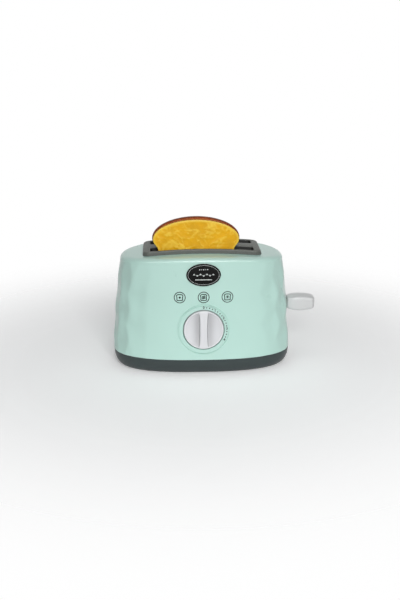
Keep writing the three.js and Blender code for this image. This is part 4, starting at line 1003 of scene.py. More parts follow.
def build_base_tray():
    columns = np.arange(COLUMNS * 4) / 4

    def loft(name, *profile):
        return lofted(name, [body_ring(columns, 0.0, inset, level - SEAM) for level, inset in profile])

    top = SEAM - SEAT_GAP
    outside = []
    for step in range(TRAY_STEPS + 1):
        share = (step / TRAY_STEPS) ** TRAY_CURVE
        turn = 1 - math.sqrt(max(0.0, 1 - (1 - share) ** 2))
        outside.append((top * share, TRAY_TURN_IN * (TRAY_TOP_SHARE + (1 - TRAY_TOP_SHARE) * turn)))
    tray = loft("slate_tray", *outside)
    cut(tray, loft(
        "tray_cavity",
        (TRAY_FLOOR, TRAY_TURN_IN + TRAY_WALL),
        (top * TRAY_CAVITY_BEND[0], TRAY_TURN_IN * TRAY_CAVITY_BEND[1] + TRAY_WALL),
        (top + OVERRUN, TRAY_TURN_IN * TRAY_TOP_SHARE + TRAY_WALL),
    ))
    lip = loft("tray_lip", (top - LIP_HEIGHT, LIP_INSET), (top + LIP_HEIGHT, LIP_INSET))
    core_inset = LIP_INSET + LIP_THICKNESS
    cut(lip, loft(
        "lip_core", (top - LIP_HEIGHT - OVERRUN, core_inset), (top + LIP_HEIGHT + OVERRUN, core_inset),
    ))
    join(tray, lip, *upright_bars("tray_post", TRAY_FLOOR / 2, top, BOSS_RADIUS))
    cut(
        tray, *upright_bars("tray_bore", -OVERRUN, top + OVERRUN, SCREW_RADIUS + SEAT_GAP),
        *upright_bars("tray_sink", -OVERRUN, SCREW_HEAD_SEAT + SEAT_GAP, SCREW_HEAD_RADIUS + SEAT_GAP),
    )
    finish_piece(tray, "casing", "slate_satin", ["base_tray"])


def slot_cutter(row):
    """A slot's opening with a rounded lip, in the front row (-1) or the rear row (1)."""
    def ring(spread):
        return rounded_rectangle(SLOT_HALF_LENGTH + spread, SLOT_HALF_WIDTH + spread, SLOT_CORNER + spread)

    rings = [[(x, y, SLEEVE_BOTTOM - OVERRUN) for x, y in ring(0.0)]]
    rings.append(crowned(ring(0.0), BEZEL_TOP - SLOT_LIP))
    rings += [crowned(ring(SLOT_LIP * out), BEZEL_TOP - SLOT_LIP * (1 - up)) for out, up in quarter_round(5)]
    rings.append(crowned(ring(SLOT_LIP), BEZEL_TOP + OVERRUN))
    cutter = lofted("slot_cutter", rings)
    for vertex in cutter.data.vertices:
        vertex.co.y += row * SLOT_MIDDLE * MM
    return cutter


def slot_depth(x, y, z):
    """Painted shade: how deep a place is inside a slot or down the bezel's side, as a share of the full
    painted shade.
    """
    inside = abs(x) < SLOT_HALF_LENGTH + SLOT_LIP and abs(abs(y) - SLOT_MIDDLE) < SLOT_HALF_WIDTH + SLOT_LIP
    below = BEZEL_TOP - float(crown_at(x)) - z
    return clamped(below / SLOT_LIP) ** 1.5 if inside else BEZEL_SIDE_SHADE * clamped(below / BEZEL_CHAMFER)


def build_bezel():
    def outline(inset):
        return rounded_rectangle(BEZEL_HALF_LENGTH - inset, BEZEL_HALF_DEPTH - inset, BEZEL_CORNER - inset)

    rings = [crowned(outline(0.0), CROWN_TOP + SEAT_GAP)]
    rings += [
        crowned(outline(BEZEL_DRAFT + BEZEL_CHAMFER * turned_in), BEZEL_TOP - BEZEL_CHAMFER * (1 - up))
        for turned_in, up in quarter_round(6, first=0)
    ]
    bezel = lofted("slotted_bezel", rings)
    join(bezel, prism("bezel_sleeve", outline(SLEEVE_INSET), SLEEVE_BOTTOM, SLEEVE_TOP))
    cut(bezel, slot_cutter(-1), slot_cutter(1))
    # Stores the mask of the painted shade in the slots and down the bezel's side
    set_masks(bezel, slot_depth=slot_depth)
    finish_piece(bezel, "casing", "bezel_speckled", ["top_bezel"])


def knob_height(x, z, bar_half):
    """Height of the knob's front above its back, at a place on its disc."""
    rise = KNOB_RIM_HEIGHT - KNOB_BAR_FOOT
    reach = KNOB_RIM_INNER - KNOB_SCOOP_X
    radius = (reach ** 2 + rise ** 2) / (2 * rise)
    out = max(0.0, abs(x) - KNOB_SCOOP_X)
    up = z * reach / KNOB_RIM_INNER
    scoop = KNOB_BAR_FOOT + radius - math.sqrt(max(0.0, radius ** 2 - out ** 2 - up ** 2))
    near = max(0.0, KNOB_RIM_SOFTNESS - abs(scoop - KNOB_RIM_HEIGHT)) / KNOB_RIM_SOFTNESS
    dish = min(scoop, KNOB_RIM_HEIGHT) - near * near * KNOB_RIM_SOFTNESS / 4
    start, span = KNOB_BAR_ROUNDING
    share = clamped((abs(x) - (bar_half + start)) / span)
    share = share * share * (3 - 2 * share)
    crown = KNOB_BAR_HEIGHT - (KNOB_BAR_HEIGHT - KNOB_RIM_HEIGHT) * (abs(z) / KNOB_FRONT_RADIUS) ** 3
    return crown + (dish - crown) * share


def knob_painted_dish_shade(x, y, z):
    """Mask of painted shade: 1 at the foot of the knob's dishes, which fades along them, and 0 off them."""
    if KNOB_BACK - y > KNOB_RIM_HEIGHT - 0.1 or math.hypot(x, z - KNOB_LEVEL) > KNOB_RIM_INNER:
        return 0.0
    return math.exp(-((max(0.0, abs(x) - KNOB_BAR_HALF - DISH_SHADE_START) / DISH_SHADE_REACH) ** 2))


def build_knob():
    radius = KNOB_FRONT_RADIUS
    shares = [math.sin(math.pi * (i / KNOB_STEPS - 0.5)) for i in range(KNOB_STEPS + 1)]
    near_bar = [KNOB_BAR_HALF + step for step in KNOB_BAR_STEPS]
    far = [radius * share for share in shares]
    far = [x for x in far if all(abs(abs(x) - near) > KNOB_LINE_GAP for near in near_bar)]
    lines = sorted(far + near_bar + [-near for near in near_bar])
    vertices, index = [], {}
    for i, x in enumerate(lines):
        chord = math.sqrt(max(0.0, radius ** 2 - x ** 2))
        for j, share in enumerate(shares):
            if chord < KNOB_SHORTEST_CHORD and j > 0:
                index[i, j] = index[i, 0]
                continue
            z = share * chord
            flare = KNOB_BAR_FLARE * share ** 4
            push = flare * math.exp(-((abs(x) - KNOB_BAR_HALF) / KNOB_FLARE_REACH) ** 2)
            across = x + (math.copysign(push, x) if abs(x) > KNOB_STILL_HALF else 0.0)
            across = math.copysign(min(abs(across), math.sqrt(max(0.0, radius ** 2 - z ** 2))), across)
            over = clamped((math.hypot(across, z) - (radius - KNOB_EDGE)) / KNOB_EDGE)
            height = knob_height(across, z, KNOB_BAR_HALF + flare)
            height -= KNOB_EDGE * (1 - math.sqrt(1 - over * over))
            index[i, j] = len(vertices)
            vertices.append((across, KNOB_BACK - height, KNOB_LEVEL + z))
    faces = []
    for i in range(len(lines) - 1):
        for j in range(KNOB_STEPS):
            quad = tuple(dict.fromkeys([index[i, j], index[i + 1, j], index[i + 1, j + 1], index[i, j + 1]]))
            if len(quad) > 2:
                faces.append(quad)
    rim = [index[i, 0] for i in range(len(lines))]
    rim += [index[i, KNOB_STEPS] for i in range(len(lines) - 2, 0, -1)]
    count, previous = len(rim), rim
    for level in range(1, KNOB_SIDE_STEPS + 1):
        ring = []
        for corner in rim:
            x, y, z = vertices[corner]
            z -= KNOB_LEVEL
            height = (KNOB_BACK - y) * (1 - level / KNOB_SIDE_STEPS)
            full = KNOB_RADIUS + (KNOB_FRONT_RADIUS - KNOB_RADIUS) * min(1.0, height / KNOB_RIM_HEIGHT)
            out = full / math.hypot(x, z)
            ring.append(len(vertices))
            vertices.append((x * out, KNOB_BACK - height, KNOB_LEVEL + z * out))
        for k in range(count):
            after = (k + 1) % count
            faces.append((previous[k], previous[after], ring[after], ring[k]))
        previous = ring
    faces += [(previous[k], previous[(k + 1) % count], len(vertices)) for k in range(count)]
    vertices.append((0.0, KNOB_BACK, KNOB_LEVEL))
    knob = piece_from("timer_dial_knob", vertices, faces)
    cut(knob, knob_disc("stub_hole", KNOB_BACK + OVERRUN, KNOB_BACK - STUB_HOLE_DEPTH, STUB_HOLE_RADIUS))
    # Stores the mask of the painted shade in the knob's dishes
    set_masks(knob, hollow=knob_painted_dish_shade)
    finish_piece(knob, "timer_shaft", "white_satin", ["knob"], sharp_degrees=50.0)


def curve_through(places, values, place):
    """A smooth curve through given values."""
    slopes = np.gradient(np.array(values, float), np.array(places, float))
    i = min(int(np.searchsorted(places, place, side="right")) - 1, len(places) - 2)
    span = places[i + 1] - places[i]
    t = (place - places[i]) / span
    start = (1 + 2 * t) * (1 - t) ** 2 * values[i] + t * (1 - t) ** 2 * span * slopes[i]
    return float(start + t * t * (3 - 2 * t) * values[i + 1] + t * t * (t - 1) * span * slopes[i + 1])


def build_lever_knob():
    places, half_heights, half_depths = zip(*LEVER_PROFILE)
    turns = 2 * np.pi * (np.arange(LEVER_COUNT) + 0.5) / LEVER_COUNT
    across, up = rounded(np.cos(turns), LEVER_POWER), rounded(np.sin(turns), LEVER_POWER)
    rings = []
    for share in LEVER_SHARES:
        half_height = curve_through(places, half_heights, share)
        half_depth = curve_through(places, half_depths, share)
        half_depth -= LEVER_CHAMFER * max(0.0, share - LEVER_CREASE) / (1 - LEVER_CREASE)
        for near, (edge, span) in ((share, LEVER_ROOT_EDGE), (1 - share, LEVER_END_EDGE)):
            if near < span:
                shrink = edge * (1 - math.sqrt(max(0.0, 1 - (1 - near / span) ** 2)))
                half_height -= shrink
                half_depth -= shrink
        x = np.full(LEVER_COUNT, LEVER_ROOT + LEVER_LENGTH * share)
        rings.append(np.column_stack([x, half_depth * across, LEVER_LEVEL + half_height * up]))
    lever = fan_lofted("lever_grip", rings)
    cut(lever, block(
        "stem_socket",
        (LEVER_ROOT - OVERRUN, -STEM_HALF_WIDTH - SEAT_GAP, STEM_BOTTOM - SEAT_GAP),
        (LEVER_ROOT + STEM_REACH + SEAT_GAP, STEM_HALF_WIDTH + SEAT_GAP, STEM_TOP + SEAT_GAP),
    ))
    finish_piece(lever, "carriage", "lever_gloss", ["lever_knob"], sharp_degrees=40.0)


def bezier(points, count):
    """Points along a curve from the first point to just before the last."""
    shares = (np.arange(count) / count)[:, None]
    line = [np.array(point, float) for point in points]
    while len(line) > 1:
        line = [(1 - shares) * near + shares * far for near, far in zip(line, line[1:])]
    return line[0]


def toast_outline(dome_rise=0.0, spread=0.0):
    """The slice's outline in X and Z, as points at equal steps."""
    half, neck, foot = TOAST_HALF_WIDTH + spread, TOAST_NECK_HALF + spread, TOAST_FOOT_HALF + spread
    low, above_corner = TOAST_BOTTOM, TOAST_BOTTOM + TOAST_FOOT_CORNER
    widest = TOAST_FACE_TOP - TOAST_DOME
    neck_level = widest - TOAST_NECK_DROP
    bend, swell = [TOAST_NECK_DROP * share for share in TOAST_BENDS]
    corner_count, side_count, dome_count = TOAST_CURVE_COUNTS
    angles = np.linspace(0, np.pi, dome_count, endpoint=False)
    right = [
        bezier([(foot - TOAST_FOOT_CORNER, low), (foot, low), (foot, above_corner)], corner_count),
        bezier([(foot, above_corner), (neck, neck_level)], side_count),
        bezier([(neck, neck_level), (neck, neck_level + bend), (half, widest - swell), (half, widest)],
               side_count),
    ]
    arc = np.column_stack([half * np.cos(angles), widest + (TOAST_DOME + dome_rise) * np.sin(angles)])
    mirrored = [np.column_stack([-part[::-1, 0], part[::-1, 1]]) for part in reversed(right)]
    line = np.concatenate([*right, arc, [[-half, widest]], *mirrored])
    closed = np.vstack([line, line[:1]])
    lengths = np.concatenate([[0], np.cumsum(np.hypot(*np.diff(closed, axis=0).T))])
    wanted = np.linspace(0, lengths[-1], TOAST_POINTS, endpoint=False)
    return np.column_stack([np.interp(wanted, lengths, closed[:, k]) for k in (0, 1)]) + [TOAST_MIDDLE, 0]


def inset_outline(outline, amount):
    ahead, behind = np.roll(outline, -1, 0), np.roll(outline, 1, 0)
    along = ahead - behind
    along /= np.linalg.norm(along, axis=1)[:, None]
    inward = np.column_stack([-along[:, 1], along[:, 0]])
    return outline + inward * amount


def slice_piece(name, outline, front, thickness, edge, edge_steps, relief=None):
    """A slab of the slice's outline with rounded edges and gridded faces."""
    rear = front + thickness
    core = np.array([TOAST_MIDDLE, TOAST_CORE_LEVEL])
    turns = quarter_round(edge_steps, first=0)
    profile = [(share, front, edge) for share in FACE_SHARES]
    profile += [(1.0, front + edge * turned, edge * (1 - up)) for turned, up in turns]
    profile += [(1.0, rear - edge * (1 - up), edge * turned) for turned, up in turns]
    profile += [(share, rear, edge) for share in reversed(FACE_SHARES)]
    rings = []
    for share, y, inset in profile:
        line = core + (inset_outline(outline, inset) - core) * share
        depth = np.full(len(line), y)
        if relief and y == front:
            depth += relief(line, share)
        rings.append(np.column_stack([line[:, 0], depth, line[:, 1]]))
    return fan_lofted(name, rings)


def strand_field(x, z):
    """Short strands that swirl over the face: 1 on a strand, 0 between strands."""
    swirl = noise.noise(Vector((x * 0.05, 3.7, z * 0.05))) * 2.2
    folded = noise.noise(Vector((x * 0.17 + swirl, 1.3 + swirl * 0.7, z * 0.24 - swirl)))
    fine = noise.noise(Vector((x * 0.42 + 7.0, 5.1 + swirl, z * 0.47)))
    patch = noise.noise(Vector((x * 0.07 + 31.0, 8.3, z * 0.08)))
    ridge = 1 - abs(folded) * 2.3
    return min(1.0, max(0.0, ridge * 0.55 + fine * 0.4 + patch * 0.9))


def build_toast():
    outline = toast_outline()
    height = size_mm("strand_height")
    border = KDTree(len(outline))
    for i, (x, z) in enumerate(outline):
        border.insert((x, 0.0, z), i)
    border.balance()

    def relief(line, share):
        end, span = STRAND_FADE
        fade = clamped((end - share) / span)
        return np.array([fade * (STRAND_BASE - height * strand_field(x, z)) for x, z in line])

    front, thickness = FACE_FRONT + STRAND_ROOM, FACE_THICKNESS - STRAND_ROOM
    face = slice_piece("toast_face_relief", outline, front, thickness, FACE_EDGE, 5, relief)
    set_masks(
        face, strand=lambda x, y, z: strand_field(x, z),
        # rim: mask of the painted highlight near the face's border
        rim=lambda x, y, z: clamped((RIM_HIGHLIGHT_WIDTH - border.find((x, 0.0, z))[2]) / RIM_HIGHLIGHT_FADE),
    )
    finish_piece(face, "toast", "toast_strands", ["toast_face"], sharp_degrees=60.0)
    outline = toast_outline(CRUST_RISE, CRUST_SPREAD)
    crust = slice_piece("toast_crust_rim", outline, CRUST_FRONT, CRUST_THICKNESS, CRUST_EDGE, 7)
    finish_piece(crust, "toast", "crust_gloss", ["toast_crust"], sharp_degrees=60.0)


# Printed marks and thin trim

class Print:
    """Thin closed slabs that follow a surface, gathered into one piece."""

    def __init__(self, placed):
        self.placed = placed
        self.thickness = size_mm("ink_thickness")
        self.vertices, self.faces = [], []

    def layer(self, points, out):
        self.vertices += [self.placed(u, v, out) for u, v in points]

    def add_shape(self, outline):
        """A slab of a convex outline."""
        count, first = len(outline), len(self.vertices)
        for out in (-self.thickness, self.thickness):
            self.layer(outline, out)
        self.faces.append(tuple(range(first, first + count)))
        self.faces.append(tuple(range(first + 2 * count - 1, first + count - 1, -1)))
        self.faces += grid_faces(2, count, first)

    def add_line(self, points, width, closed=False):
        """A ribbon along points."""
        path = np.array(points, float)
        ahead, behind = np.roll(path, -1, 0), np.roll(path, 1, 0)
        if not closed:
            ahead[-1] = 2 * path[-1] - path[-2]
            behind[0] = 2 * path[0] - path[1]
        along = ahead - behind
        along /= np.linalg.norm(along, axis=1)[:, None]
        side = np.column_stack([-along[:, 1], along[:, 0]]) * width / 2
        count, first = len(path), len(self.vertices)
        for out, sign in ((-1, -1), (-1, 1), (1, 1), (1, -1)):
            self.layer(path + sign * side, out * self.thickness)
        self.faces += grid_faces(4, count, first, rings_closed=True, points_closed=closed)
        if not closed:
            self.faces.append(tuple(first + strip * count for strip in range(4)))
            self.faces.append(tuple(first + strip * count + count - 1 for strip in reversed(range(4))))

    def finish(self, name, material):
        finish_piece(piece_from(name, self.vertices, self.faces), "casing", material)


def badge_frame():
    """The badge's place and lean on the front, as a mapping from its own plane."""
    low = float(front_face_at(0.0, BADGE_LEVEL - BADGE_HALF_HEIGHT))
    high = float(front_face_at(0.0, BADGE_LEVEL + BADGE_HALF_HEIGHT))
    back = float(front_face_at(0.0, BADGE_LEVEL)) - SEAT_GAP
    lean = math.atan2(high - low, 2 * BADGE_HALF_HEIGHT)
    sine, cosine = math.sin(lean), math.cos(lean)
    return lambda u, v, out: (u, back + v * sine - out * cosine, BADGE_LEVEL + v * cosine + out * sine)


def build_badge():
    placed = badge_frame()
    half = np.array([BADGE_HALF_WIDTH, BADGE_HALF_HEIGHT])

    def oval(inset, out):
        return [placed(u, v, out) for u, v in circle(1.0, BADGE_COUNT) * (half - inset)]

    rings = [oval(0.0, 0.0)] + [
        oval(BADGE_EDGE * turned_in, BADGE_THICKNESS - BADGE_EDGE * (1 - up))
        for turned_in, up in quarter_round(5, first=0)
    ]
    finish_piece(fan_lofted("badge_oval", rings), "casing", "badge_gloss", ["badge_plate"])
    ornament = Print(lambda u, v, out: placed(u, v, BADGE_THICKNESS + out))
    outer, inner = BADGE_RING_INSET, BADGE_RING_INSET + BADGE_RING_LINE
    low, high = BADGE_THICKNESS - ornament.thickness, BADGE_THICKNESS + ornament.thickness
    corners = ((outer, low), (inner, low), (inner, high), (outer, high))
    vertices = [point for inset, out in corners for point in oval(inset, out)]
    ring = piece_from("badge_ring", vertices, grid_faces(4, BADGE_COUNT, rings_closed=True))
    finish_piece(ring, "casing", "ink_pale")
    for leaf in range(-3, 4):
        tilt = (LEAF_TILT[0] - LEAF_TILT[1] * abs(leaf)) * (1 if leaf % 2 else -1)
        middle = leaf * LEAF_STEP
        ornament.add_shape([
            (middle - LEAF_HALF, 0.0), (middle, tilt - LEAF_THICKNESS),
            (middle + LEAF_HALF, 0.0), (middle, tilt + LEAF_THICKNESS),
        ])
    for dot in range(-2, 3):
        radius = BADGE_DOT_RADII[dot % 2]
        ornament.add_shape(circle(radius, 12) + (dot * BADGE_DOT_STEP, BADGE_DOT_LEVEL))
    ornament.add_shape(BADGE_BAR)
    ornament.finish("badge_ornament", "ink_pale")


def build_icons():
    """Three round marks, each with a small slice of bread that is browned a little more."""
    line = size_mm("ink_line")
    small_slice = [(x * MARK_SLICE_HALF, z * MARK_SLICE_HALF) for x, z in MARK_SLICE]
    small_slice += [(-x, z) for x, z in reversed(small_slice)]
    for name, middle in (("mark_light", -MARK_SPACING), ("mark_medium", 0.0), ("mark_dark", MARK_SPACING)):
        def placed(u, v, out, middle=middle):
            return middle + u, float(front_face_at(middle + u, MARK_LEVEL + v)) - out, MARK_LEVEL + v

        mark = Print(placed)
        mark.add_line(circle(MARK_RADIUS, 48), line, closed=True)
        mark.add_line(small_slice, line * 1.1, closed=True)
        if name == "mark_light":
            mark.add_shape(circle(MARK_LIGHT_RADIUS, MARK_DOT_COUNT))
        elif name == "mark_medium":
            across = np.linspace(-MARK_WAVE_HALF, MARK_WAVE_HALF, 11)
            for level in MARK_WAVES:
                wave = level + MARK_WAVE_RISE * np.sin(across * MARK_WAVE_TURN)
                mark.add_line(np.column_stack([across, wave]), line)
        else:
            mark.add_line([(-MARK_CROSS_HALF, 0), (MARK_CROSS_HALF, 0)], line)
            mark.add_line([(0, -MARK_CROSS_HALF), (0, MARK_CROSS_HALF)], line)
            for corner in ((1, 1), (-1, 1), (-1, -1), (1, -1)):
                dot = circle(MARK_DARK_RADIUS, MARK_DOT_COUNT)
                mark.add_shape(dot + np.array(corner) * MARK_DOT_PLACE)
        mark.finish(name, "ink_dark")


def digit_mesh(text):
    """Vertices in millimetres and faces of a plain digit in the built-in typeface."""
    curve = bpy.data.curves.new("digits", "FONT")
    curve.body = text
    curve.size = DIAL_DIGIT_SIZE
    curve.offset = DIAL_DIGIT_SPREAD
    curve.align_x = curve.align_y = "CENTER"
    curve.extrude = size_mm("ink_thickness")
    holder = bpy.data.objects.new("digits", curve)
    bpy.context.scene.collection.objects.link(holder)
    bpy.context.view_layer.update()
    mesh = bpy.data.meshes.new_from_object(holder.evaluated_get(bpy.context.evaluated_depsgraph_get()))
    vertices, faces = [tuple(v.co) for v in mesh.vertices], [tuple(p.vertices) for p in mesh.polygons]
    bpy.data.objects.remove(holder)
    bpy.data.curves.remove(curve)
    bpy.data.meshes.remove(mesh)
    return vertices, faces


def build_dial_marks():
    marks = Print(lambda u, v, out: (u, LAND_FACE - out, KNOB_LEVEL + v))
    for mark in range(DIAL_MARKS + 1):
        angle = math.radians(90 - DIAL_SPAN * mark / DIAL_MARKS)
        middle = np.array([math.cos(angle), math.sin(angle)]) * DIAL_RADIUS
        if mark % DIAL_DIGIT_EVERY:
            marks.add_shape(circle(DIAL_DOT_RADIUS, MARK_DOT_COUNT) + middle)
            continue
        first = len(marks.vertices)
        points, faces = digit_mesh(str(mark // DIAL_DIGIT_EVERY))
        for u, v, out in points:
            marks.layer([middle + (u, v)], out)
        marks.faces += [tuple(first + i for i in face) for face in faces]
    marks.finish("dial_marks", "ink_dark")


# Small metal pieces

def build_base_screws():
    top = SCREW_HEAD_SINK
    profile = (
        (0.5, SCREW_TIP - 0.2), (SCREW_RADIUS * 0.6, SCREW_TIP - 1.2), (SCREW_RADIUS, SCREW_TIP - 3.5),
        (SCREW_RADIUS, SCREW_HEAD_SEAT), (SCREW_HEAD_RADIUS - 0.15, SCREW_HEAD_SEAT),
        (SCREW_HEAD_RADIUS, SCREW_HEAD_SEAT - 0.2), (SCREW_HEAD_RADIUS, top + 0.7),
        (SCREW_HEAD_RADIUS * 0.93, top + 0.3), (SCREW_HEAD_RADIUS * 0.75, top + 0.08),
        (SCREW_HEAD_RADIUS * 0.4, top),
    )
    for number, (x, y) in enumerate(BASE_SCREWS, start=1):
        screw = fan_lofted(f"cross_screw_{number}", [
            [(x + a, y + b, z) for a, b in circle(radius, 40)] for radius, z in profile
        ])
        for half_x, half_y in (DRIVE_HALVES, DRIVE_HALVES[::-1]):
            low = (x - half_x, y - half_y, top - SHORT_OVERRUN)
            cut(screw, block("drive", low, (x + half_x, y + half_y, top + DRIVE_DEPTH)))
        finish_piece(screw, "casing", "zinc_steel", [f"base_screw_{number}"])


def build_springs():
    """Compression springs with closed end coils."""
    length = SPRING_TOP - SPRING_FOOT
    closed_pitch = SPRING_WIRE * SPRING_CLOSED_PITCH
    bends = [0, 1, SPRING_COILS - 1, SPRING_COILS]
    rises = [0, closed_pitch, length - SPRING_WIRE - closed_pitch, length - SPRING_WIRE]
    for node, (x, y) in SPRING_PLACES.items():
        rings = []
        for turn in np.arange(SPRING_COILS * SPRING_STEPS + 1) / SPRING_STEPS:
            level = SPRING_FOOT + SPRING_WIRE / 2 + np.interp(turn, bends, rises)
            along, aside = math.cos(2 * math.pi * turn), math.sin(2 * math.pi * turn)
            rings.append([
                (x + (SPRING_RADIUS + out) * along, y + (SPRING_RADIUS + out) * aside, level + up)
                for out, up in circle(SPRING_WIRE / 2, SPRING_SIDES)
            ])
        spring = fan_lofted(node.replace("lift", "coiled"), rings)
        finish_piece(spring, "casing", "coil_steel", [node])
        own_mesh(spring)


NODE_MATERIALS = {
    "liner_dark": "liner_satin",
    "inner_plastic": "inner_natural",
    "gear_plastic": "gear_natural",
    "steel": "zinc_steel",
    "spring_steel": "coil_steel",
}


def dress_nodes():
    """Finishes for the solids that are shown as they are."""
    slots = {entry["node"]: entry["material_slot"] for entry in frame["record"]["subparts"]}
    for name, node in frame["nodes"].items():
        if not node.hide_render:
            node.data.materials.clear()
            node.data.materials.append(material_named(NODE_MATERIALS[slots[name]]))


# Stage

def add_lamp(name, place, aim_level, size, watts):
    data = bpy.data.lights.new(name, "AREA")
    data.shape = "RECTANGLE"
    data.size, data.size_y = size
    data.energy = watts
    lamp = bpy.data.objects.new(name, data)
    lamp.location = place
    lamp.rotation_euler = (Vector((0, 0, aim_level)) - Vector(place)).to_track_quat("-Z", "Y").to_euler()
    bpy.context.scene.collection.objects.link(lamp)
    return lamp


def build_floor():
    """A pale floor that keeps the shadow and fades into the white round it."""
    mesh = bpy.data.meshes.new("floor")
    corners = [(x * FLOOR_REACH, y * FLOOR_REACH, 0) for x, y in ((-1, -1), (1, -1), (1, 1), (-1, 1))]
    mesh.from_pydata(corners, [], [(0, 1, 2, 3)])
    floor = bpy.data.objects.new("floor", mesh)
    floor.location.z = -FLOOR_GAP
    bpy.context.scene.collection.objects.link(floor)
    material, tree, surface = new_material(
        "floor_pale", Roughness=0.75, Specular_IOR_Level=0.2, Emission_Color=WHITE, Emission_Strength=0.21,
    )
    place = object_place(tree)
    cloud = noise_texture(tree, place, Scale=3.0, Detail=3.0)
    feed(tree, surface["Base Color"], blend(tree, cloud, FLOOR_DEEP, FLOOR_PALE))
    far = vector_math(tree, "LENGTH", {0: place}, "Value")
    feed(tree, surface["Alpha"], mapped(tree, far, *FLOOR_FADE, 1.0, 0.0, "SMOOTHERSTEP"))
    mesh.materials.append(material)


def build_world():
    """Surroundings that are brightest in front and overhead, and plain white for the camera."""
    world = bpy.data.worlds.new("studio")
    bpy.context.scene.world = world
    world.use_nodes = True
    tree = world.node_tree
    tree.nodes.clear()
    rays = add_node(tree, "ShaderNodeLightPath").outputs
    toward = add_node(tree, "ShaderNodeTexCoord").outputs["Generated"]
    facing = vector_math(tree, "DOT_PRODUCT", {0: toward, 1: BRIGHTEST_WAY}, "Value")
    sideways = vector_math(tree, "DOT_PRODUCT", {0: toward, 1: (1.0, 0.0, 0.0)}, "Value")
    level = mapped(tree, facing, -0.25, 0.95, 0.1, 0.5, "SMOOTHSTEP")
    dimmed = mapped(tree, worked_out(tree, "ABSOLUTE", sideways), 0.3, 0.85, 1.0, 0.1, "SMOOTHSTEP")
    strength = worked_out(tree, "MULTIPLY", level, dimmed)
    around = add_node(tree, "ShaderNodeBackground", {"Color": SKY_COLOUR, "Strength": strength})
    white = add_node(tree, "ShaderNodeBackground", {"Color": WHITE, "Strength": 1.0})
    mirrored = worked_out(tree, "MAXIMUM", rays["Is Glossy Ray"], rays["Is Transmission Ray"])
    seen = worked_out(tree, "MAXIMUM", mirrored, rays["Is Camera Ray"])
    shown = add_node(tree, "ShaderNodeMixShader", {0: seen, 1: around.outputs[0], 2: white.outputs[0]})
    add_node(tree, "ShaderNodeOutputWorld", {"Surface": shown.outputs[0]})


def build_camera():
    azimuth, elevation = math.radians(CAMERA_AZIMUTH), math.radians(CAMERA_ELEVATION)
    level = math.cos(elevation)
    back = Vector((math.sin(azimuth) * level, -math.cos(azimuth) * level, math.sin(elevation)))
    data = bpy.data.cameras.new("camera")
    data.sensor_fit = "AUTO"
    data.sensor_width = SENSOR_WIDTH
    data.lens = CAMERA_FOCAL_PIXELS * SENSOR_WIDTH / IMAGE_LONG_SIDE
    data.shift_x = -CAMERA_OFFSET_PIXELS[0] / IMAGE_LONG_SIDE
    data.shift_y = CAMERA_OFFSET_PIXELS[1] / IMAGE_LONG_SIDE
    data.clip_start = 0.01
    camera = bpy.data.objects.new("camera", data)
    camera.location = Vector(CAMERA_TARGET) * MM + back * CAMERA_DISTANCE * MM
    camera.rotation_euler = back.to_track_quat("Z", "Y").to_euler()
    bpy.context.scene.collection.objects.link(camera)
    bpy.context.scene.camera = camera


def build_stage():
    bpy.context.scene.view_settings.view_transform = "Standard"
    build_floor()
    build_world()
    lamps = {name: add_lamp(name, *values) for name, *values in LAMPS}
    lamps["back_softbox"].visible_glossy = False
    lamps["shoulder_strip"].visible_diffuse = False
    build_camera()


# Operators

class TOYTOASTER_OT_body_shell(bpy.types.Operator):
    """Mint shell with soft facets round its ends"""

    bl_idname = "toy_toaster.body_shell"
    bl_label = "Body shell"

    def execute(self, context):
        build_body_shell()
        return {"FINISHED"}


class TOYTOASTER_OT_base_tray(bpy.types.Operator):
    """Slate tray with its turned-in edge"""

    bl_idname = "toy_toaster.base_tray"
    bl_label = "Base tray"

    def execute(self, context):
        build_base_tray()
        return {"FINISHED"}


class TOYTOASTER_OT_bezel(bpy.types.Operator):
    """Speckled frame round both slots"""

    bl_idname = "toy_toaster.bezel"
    bl_label = "Top bezel"

    def execute(self, context):
        build_bezel()
        return {"FINISHED"}


class TOYTOASTER_OT_knob(bpy.types.Operator):
    """Dished white knob with an upright bar"""

    bl_idname = "toy_toaster.knob"
    bl_label = "Timer knob"

    def execute(self, context):
        build_knob()
        return {"FINISHED"}


class TOYTOASTER_OT_lever_knob(bpy.types.Operator):
    """White barrel-shaped grip"""

    bl_idname = "toy_toaster.lever_knob"
    bl_label = "Lever knob"

    def execute(self, context):
        build_lever_knob()
        return {"FINISHED"}


class TOYTOASTER_OT_toast(bpy.types.Operator):
    """Slice with strands in relief and a glossy crust"""

    bl_idname = "toy_toaster.toast"
    bl_label = "Toast"

    def execute(self, context):
        build_toast()
        return {"FINISHED"}


class TOYTOASTER_OT_badge(bpy.types.Operator):
    """Black oval plate with a plain ornament"""

    bl_idname = "toy_toaster.badge"
    bl_label = "Badge"

    def execute(self, context):
        build_badge()
        return {"FINISHED"}


class TOYTOASTER_OT_icons(bpy.types.Operator):
    """Three printed marks above the knob"""

    bl_idname = "toy_toaster.icons"
    bl_label = "Round marks"

    def execute(self, context):
        build_icons()
        return {"FINISHED"}


class TOYTOASTER_OT_dial_marks(bpy.types.Operator):
    """Printed digits and ticks round the knob"""

    bl_idname = "toy_toaster.dial_marks"
    bl_label = "Dial marks"

    def execute(self, context):
        build_dial_marks()
        return {"FINISHED"}


class TOYTOASTER_OT_base_screws(bpy.types.Operator):
    """Cross-head screws under the tray"""

    bl_idname = "toy_toaster.base_screws"
    bl_label = "Base screws"

    def execute(self, context):
        build_base_screws()
        return {"FINISHED"}


class TOYTOASTER_OT_springs(bpy.types.Operator):
    """Coiled lift springs"""

    bl_idname = "toy_toaster.springs"
    bl_label = "Lift springs"

    def execute(self, context):
        build_springs()
        return {"FINISHED"}


class TOYTOASTER_OT_inner_parts(bpy.types.Operator):
    """Finishes for the solids that stay as they are"""

    bl_idname = "toy_toaster.inner_parts"
    bl_label = "Inner parts"

    def execute(self, context):
        dress_nodes()
        return {"FINISHED"}


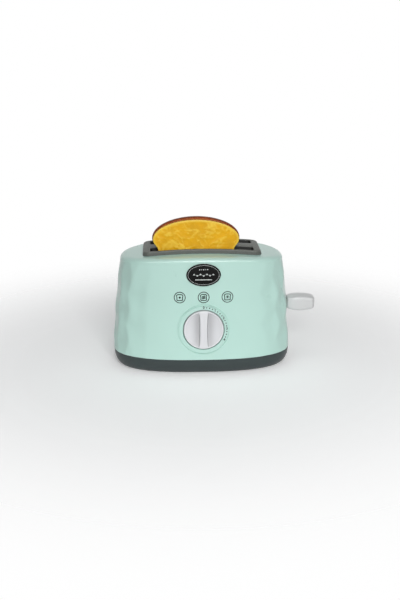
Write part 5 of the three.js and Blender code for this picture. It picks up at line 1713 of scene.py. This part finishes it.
class TOYTOASTER_OT_stage(bpy.types.Operator):
    """Floor, surroundings, lamps and camera"""

    bl_idname = "toy_toaster.stage"
    bl_label = "Stage"

    def execute(self, context):
        build_stage()
        return {"FINISHED"}


OPERATORS = [
    TOYTOASTER_OT_body_shell,
    TOYTOASTER_OT_base_tray,
    TOYTOASTER_OT_bezel,
    TOYTOASTER_OT_knob,
    TOYTOASTER_OT_lever_knob,
    TOYTOASTER_OT_toast,
    TOYTOASTER_OT_badge,
    TOYTOASTER_OT_icons,
    TOYTOASTER_OT_dial_marks,
    TOYTOASTER_OT_base_screws,
    TOYTOASTER_OT_springs,
    TOYTOASTER_OT_inner_parts,
    TOYTOASTER_OT_stage,
]


class TOYTOASTER_PT_panel(bpy.types.Panel):
    """Lists the pieces of the toaster"""

    bl_idname = "TOYTOASTER_PT_panel"
    bl_label = "Toy Toaster"
    bl_space_type = "VIEW_3D"
    bl_region_type = "UI"
    bl_category = "Toy Toaster"

    def draw(self, context):
        for operator in OPERATORS:
            self.layout.operator(operator.bl_idname)
        for group in (context.scene.toaster_sizes, context.scene.toaster_colours):
            box = self.layout.box()
            for name in group.bl_rna.properties.keys():
                if name not in ("rna_type", "name"):
                    box.prop(group, name)


CLASSES = [ToasterColours, ToasterSizes, *OPERATORS, TOYTOASTER_PT_panel]


def register():
    for each in CLASSES:
        bpy.utils.register_class(each)
    bpy.types.Scene.toaster_colours = PointerProperty(type=ToasterColours)
    bpy.types.Scene.toaster_sizes = PointerProperty(type=ToasterSizes)


def unregister():
    del bpy.types.Scene.toaster_sizes
    del bpy.types.Scene.toaster_colours
    for each in reversed(CLASSES):
        bpy.utils.unregister_class(each)


def main():
    register()
    bpy.ops.toy_toaster.body_shell()
    bpy.ops.toy_toaster.base_tray()
    bpy.ops.toy_toaster.bezel()
    bpy.ops.toy_toaster.knob()
    bpy.ops.toy_toaster.lever_knob()
    bpy.ops.toy_toaster.toast()
    bpy.ops.toy_toaster.badge()
    bpy.ops.toy_toaster.icons()
    bpy.ops.toy_toaster.dial_marks()
    bpy.ops.toy_toaster.base_screws()
    bpy.ops.toy_toaster.springs()
    bpy.ops.toy_toaster.inner_parts()
    bpy.ops.toy_toaster.stage()


if __name__ == "__main__":
    main()
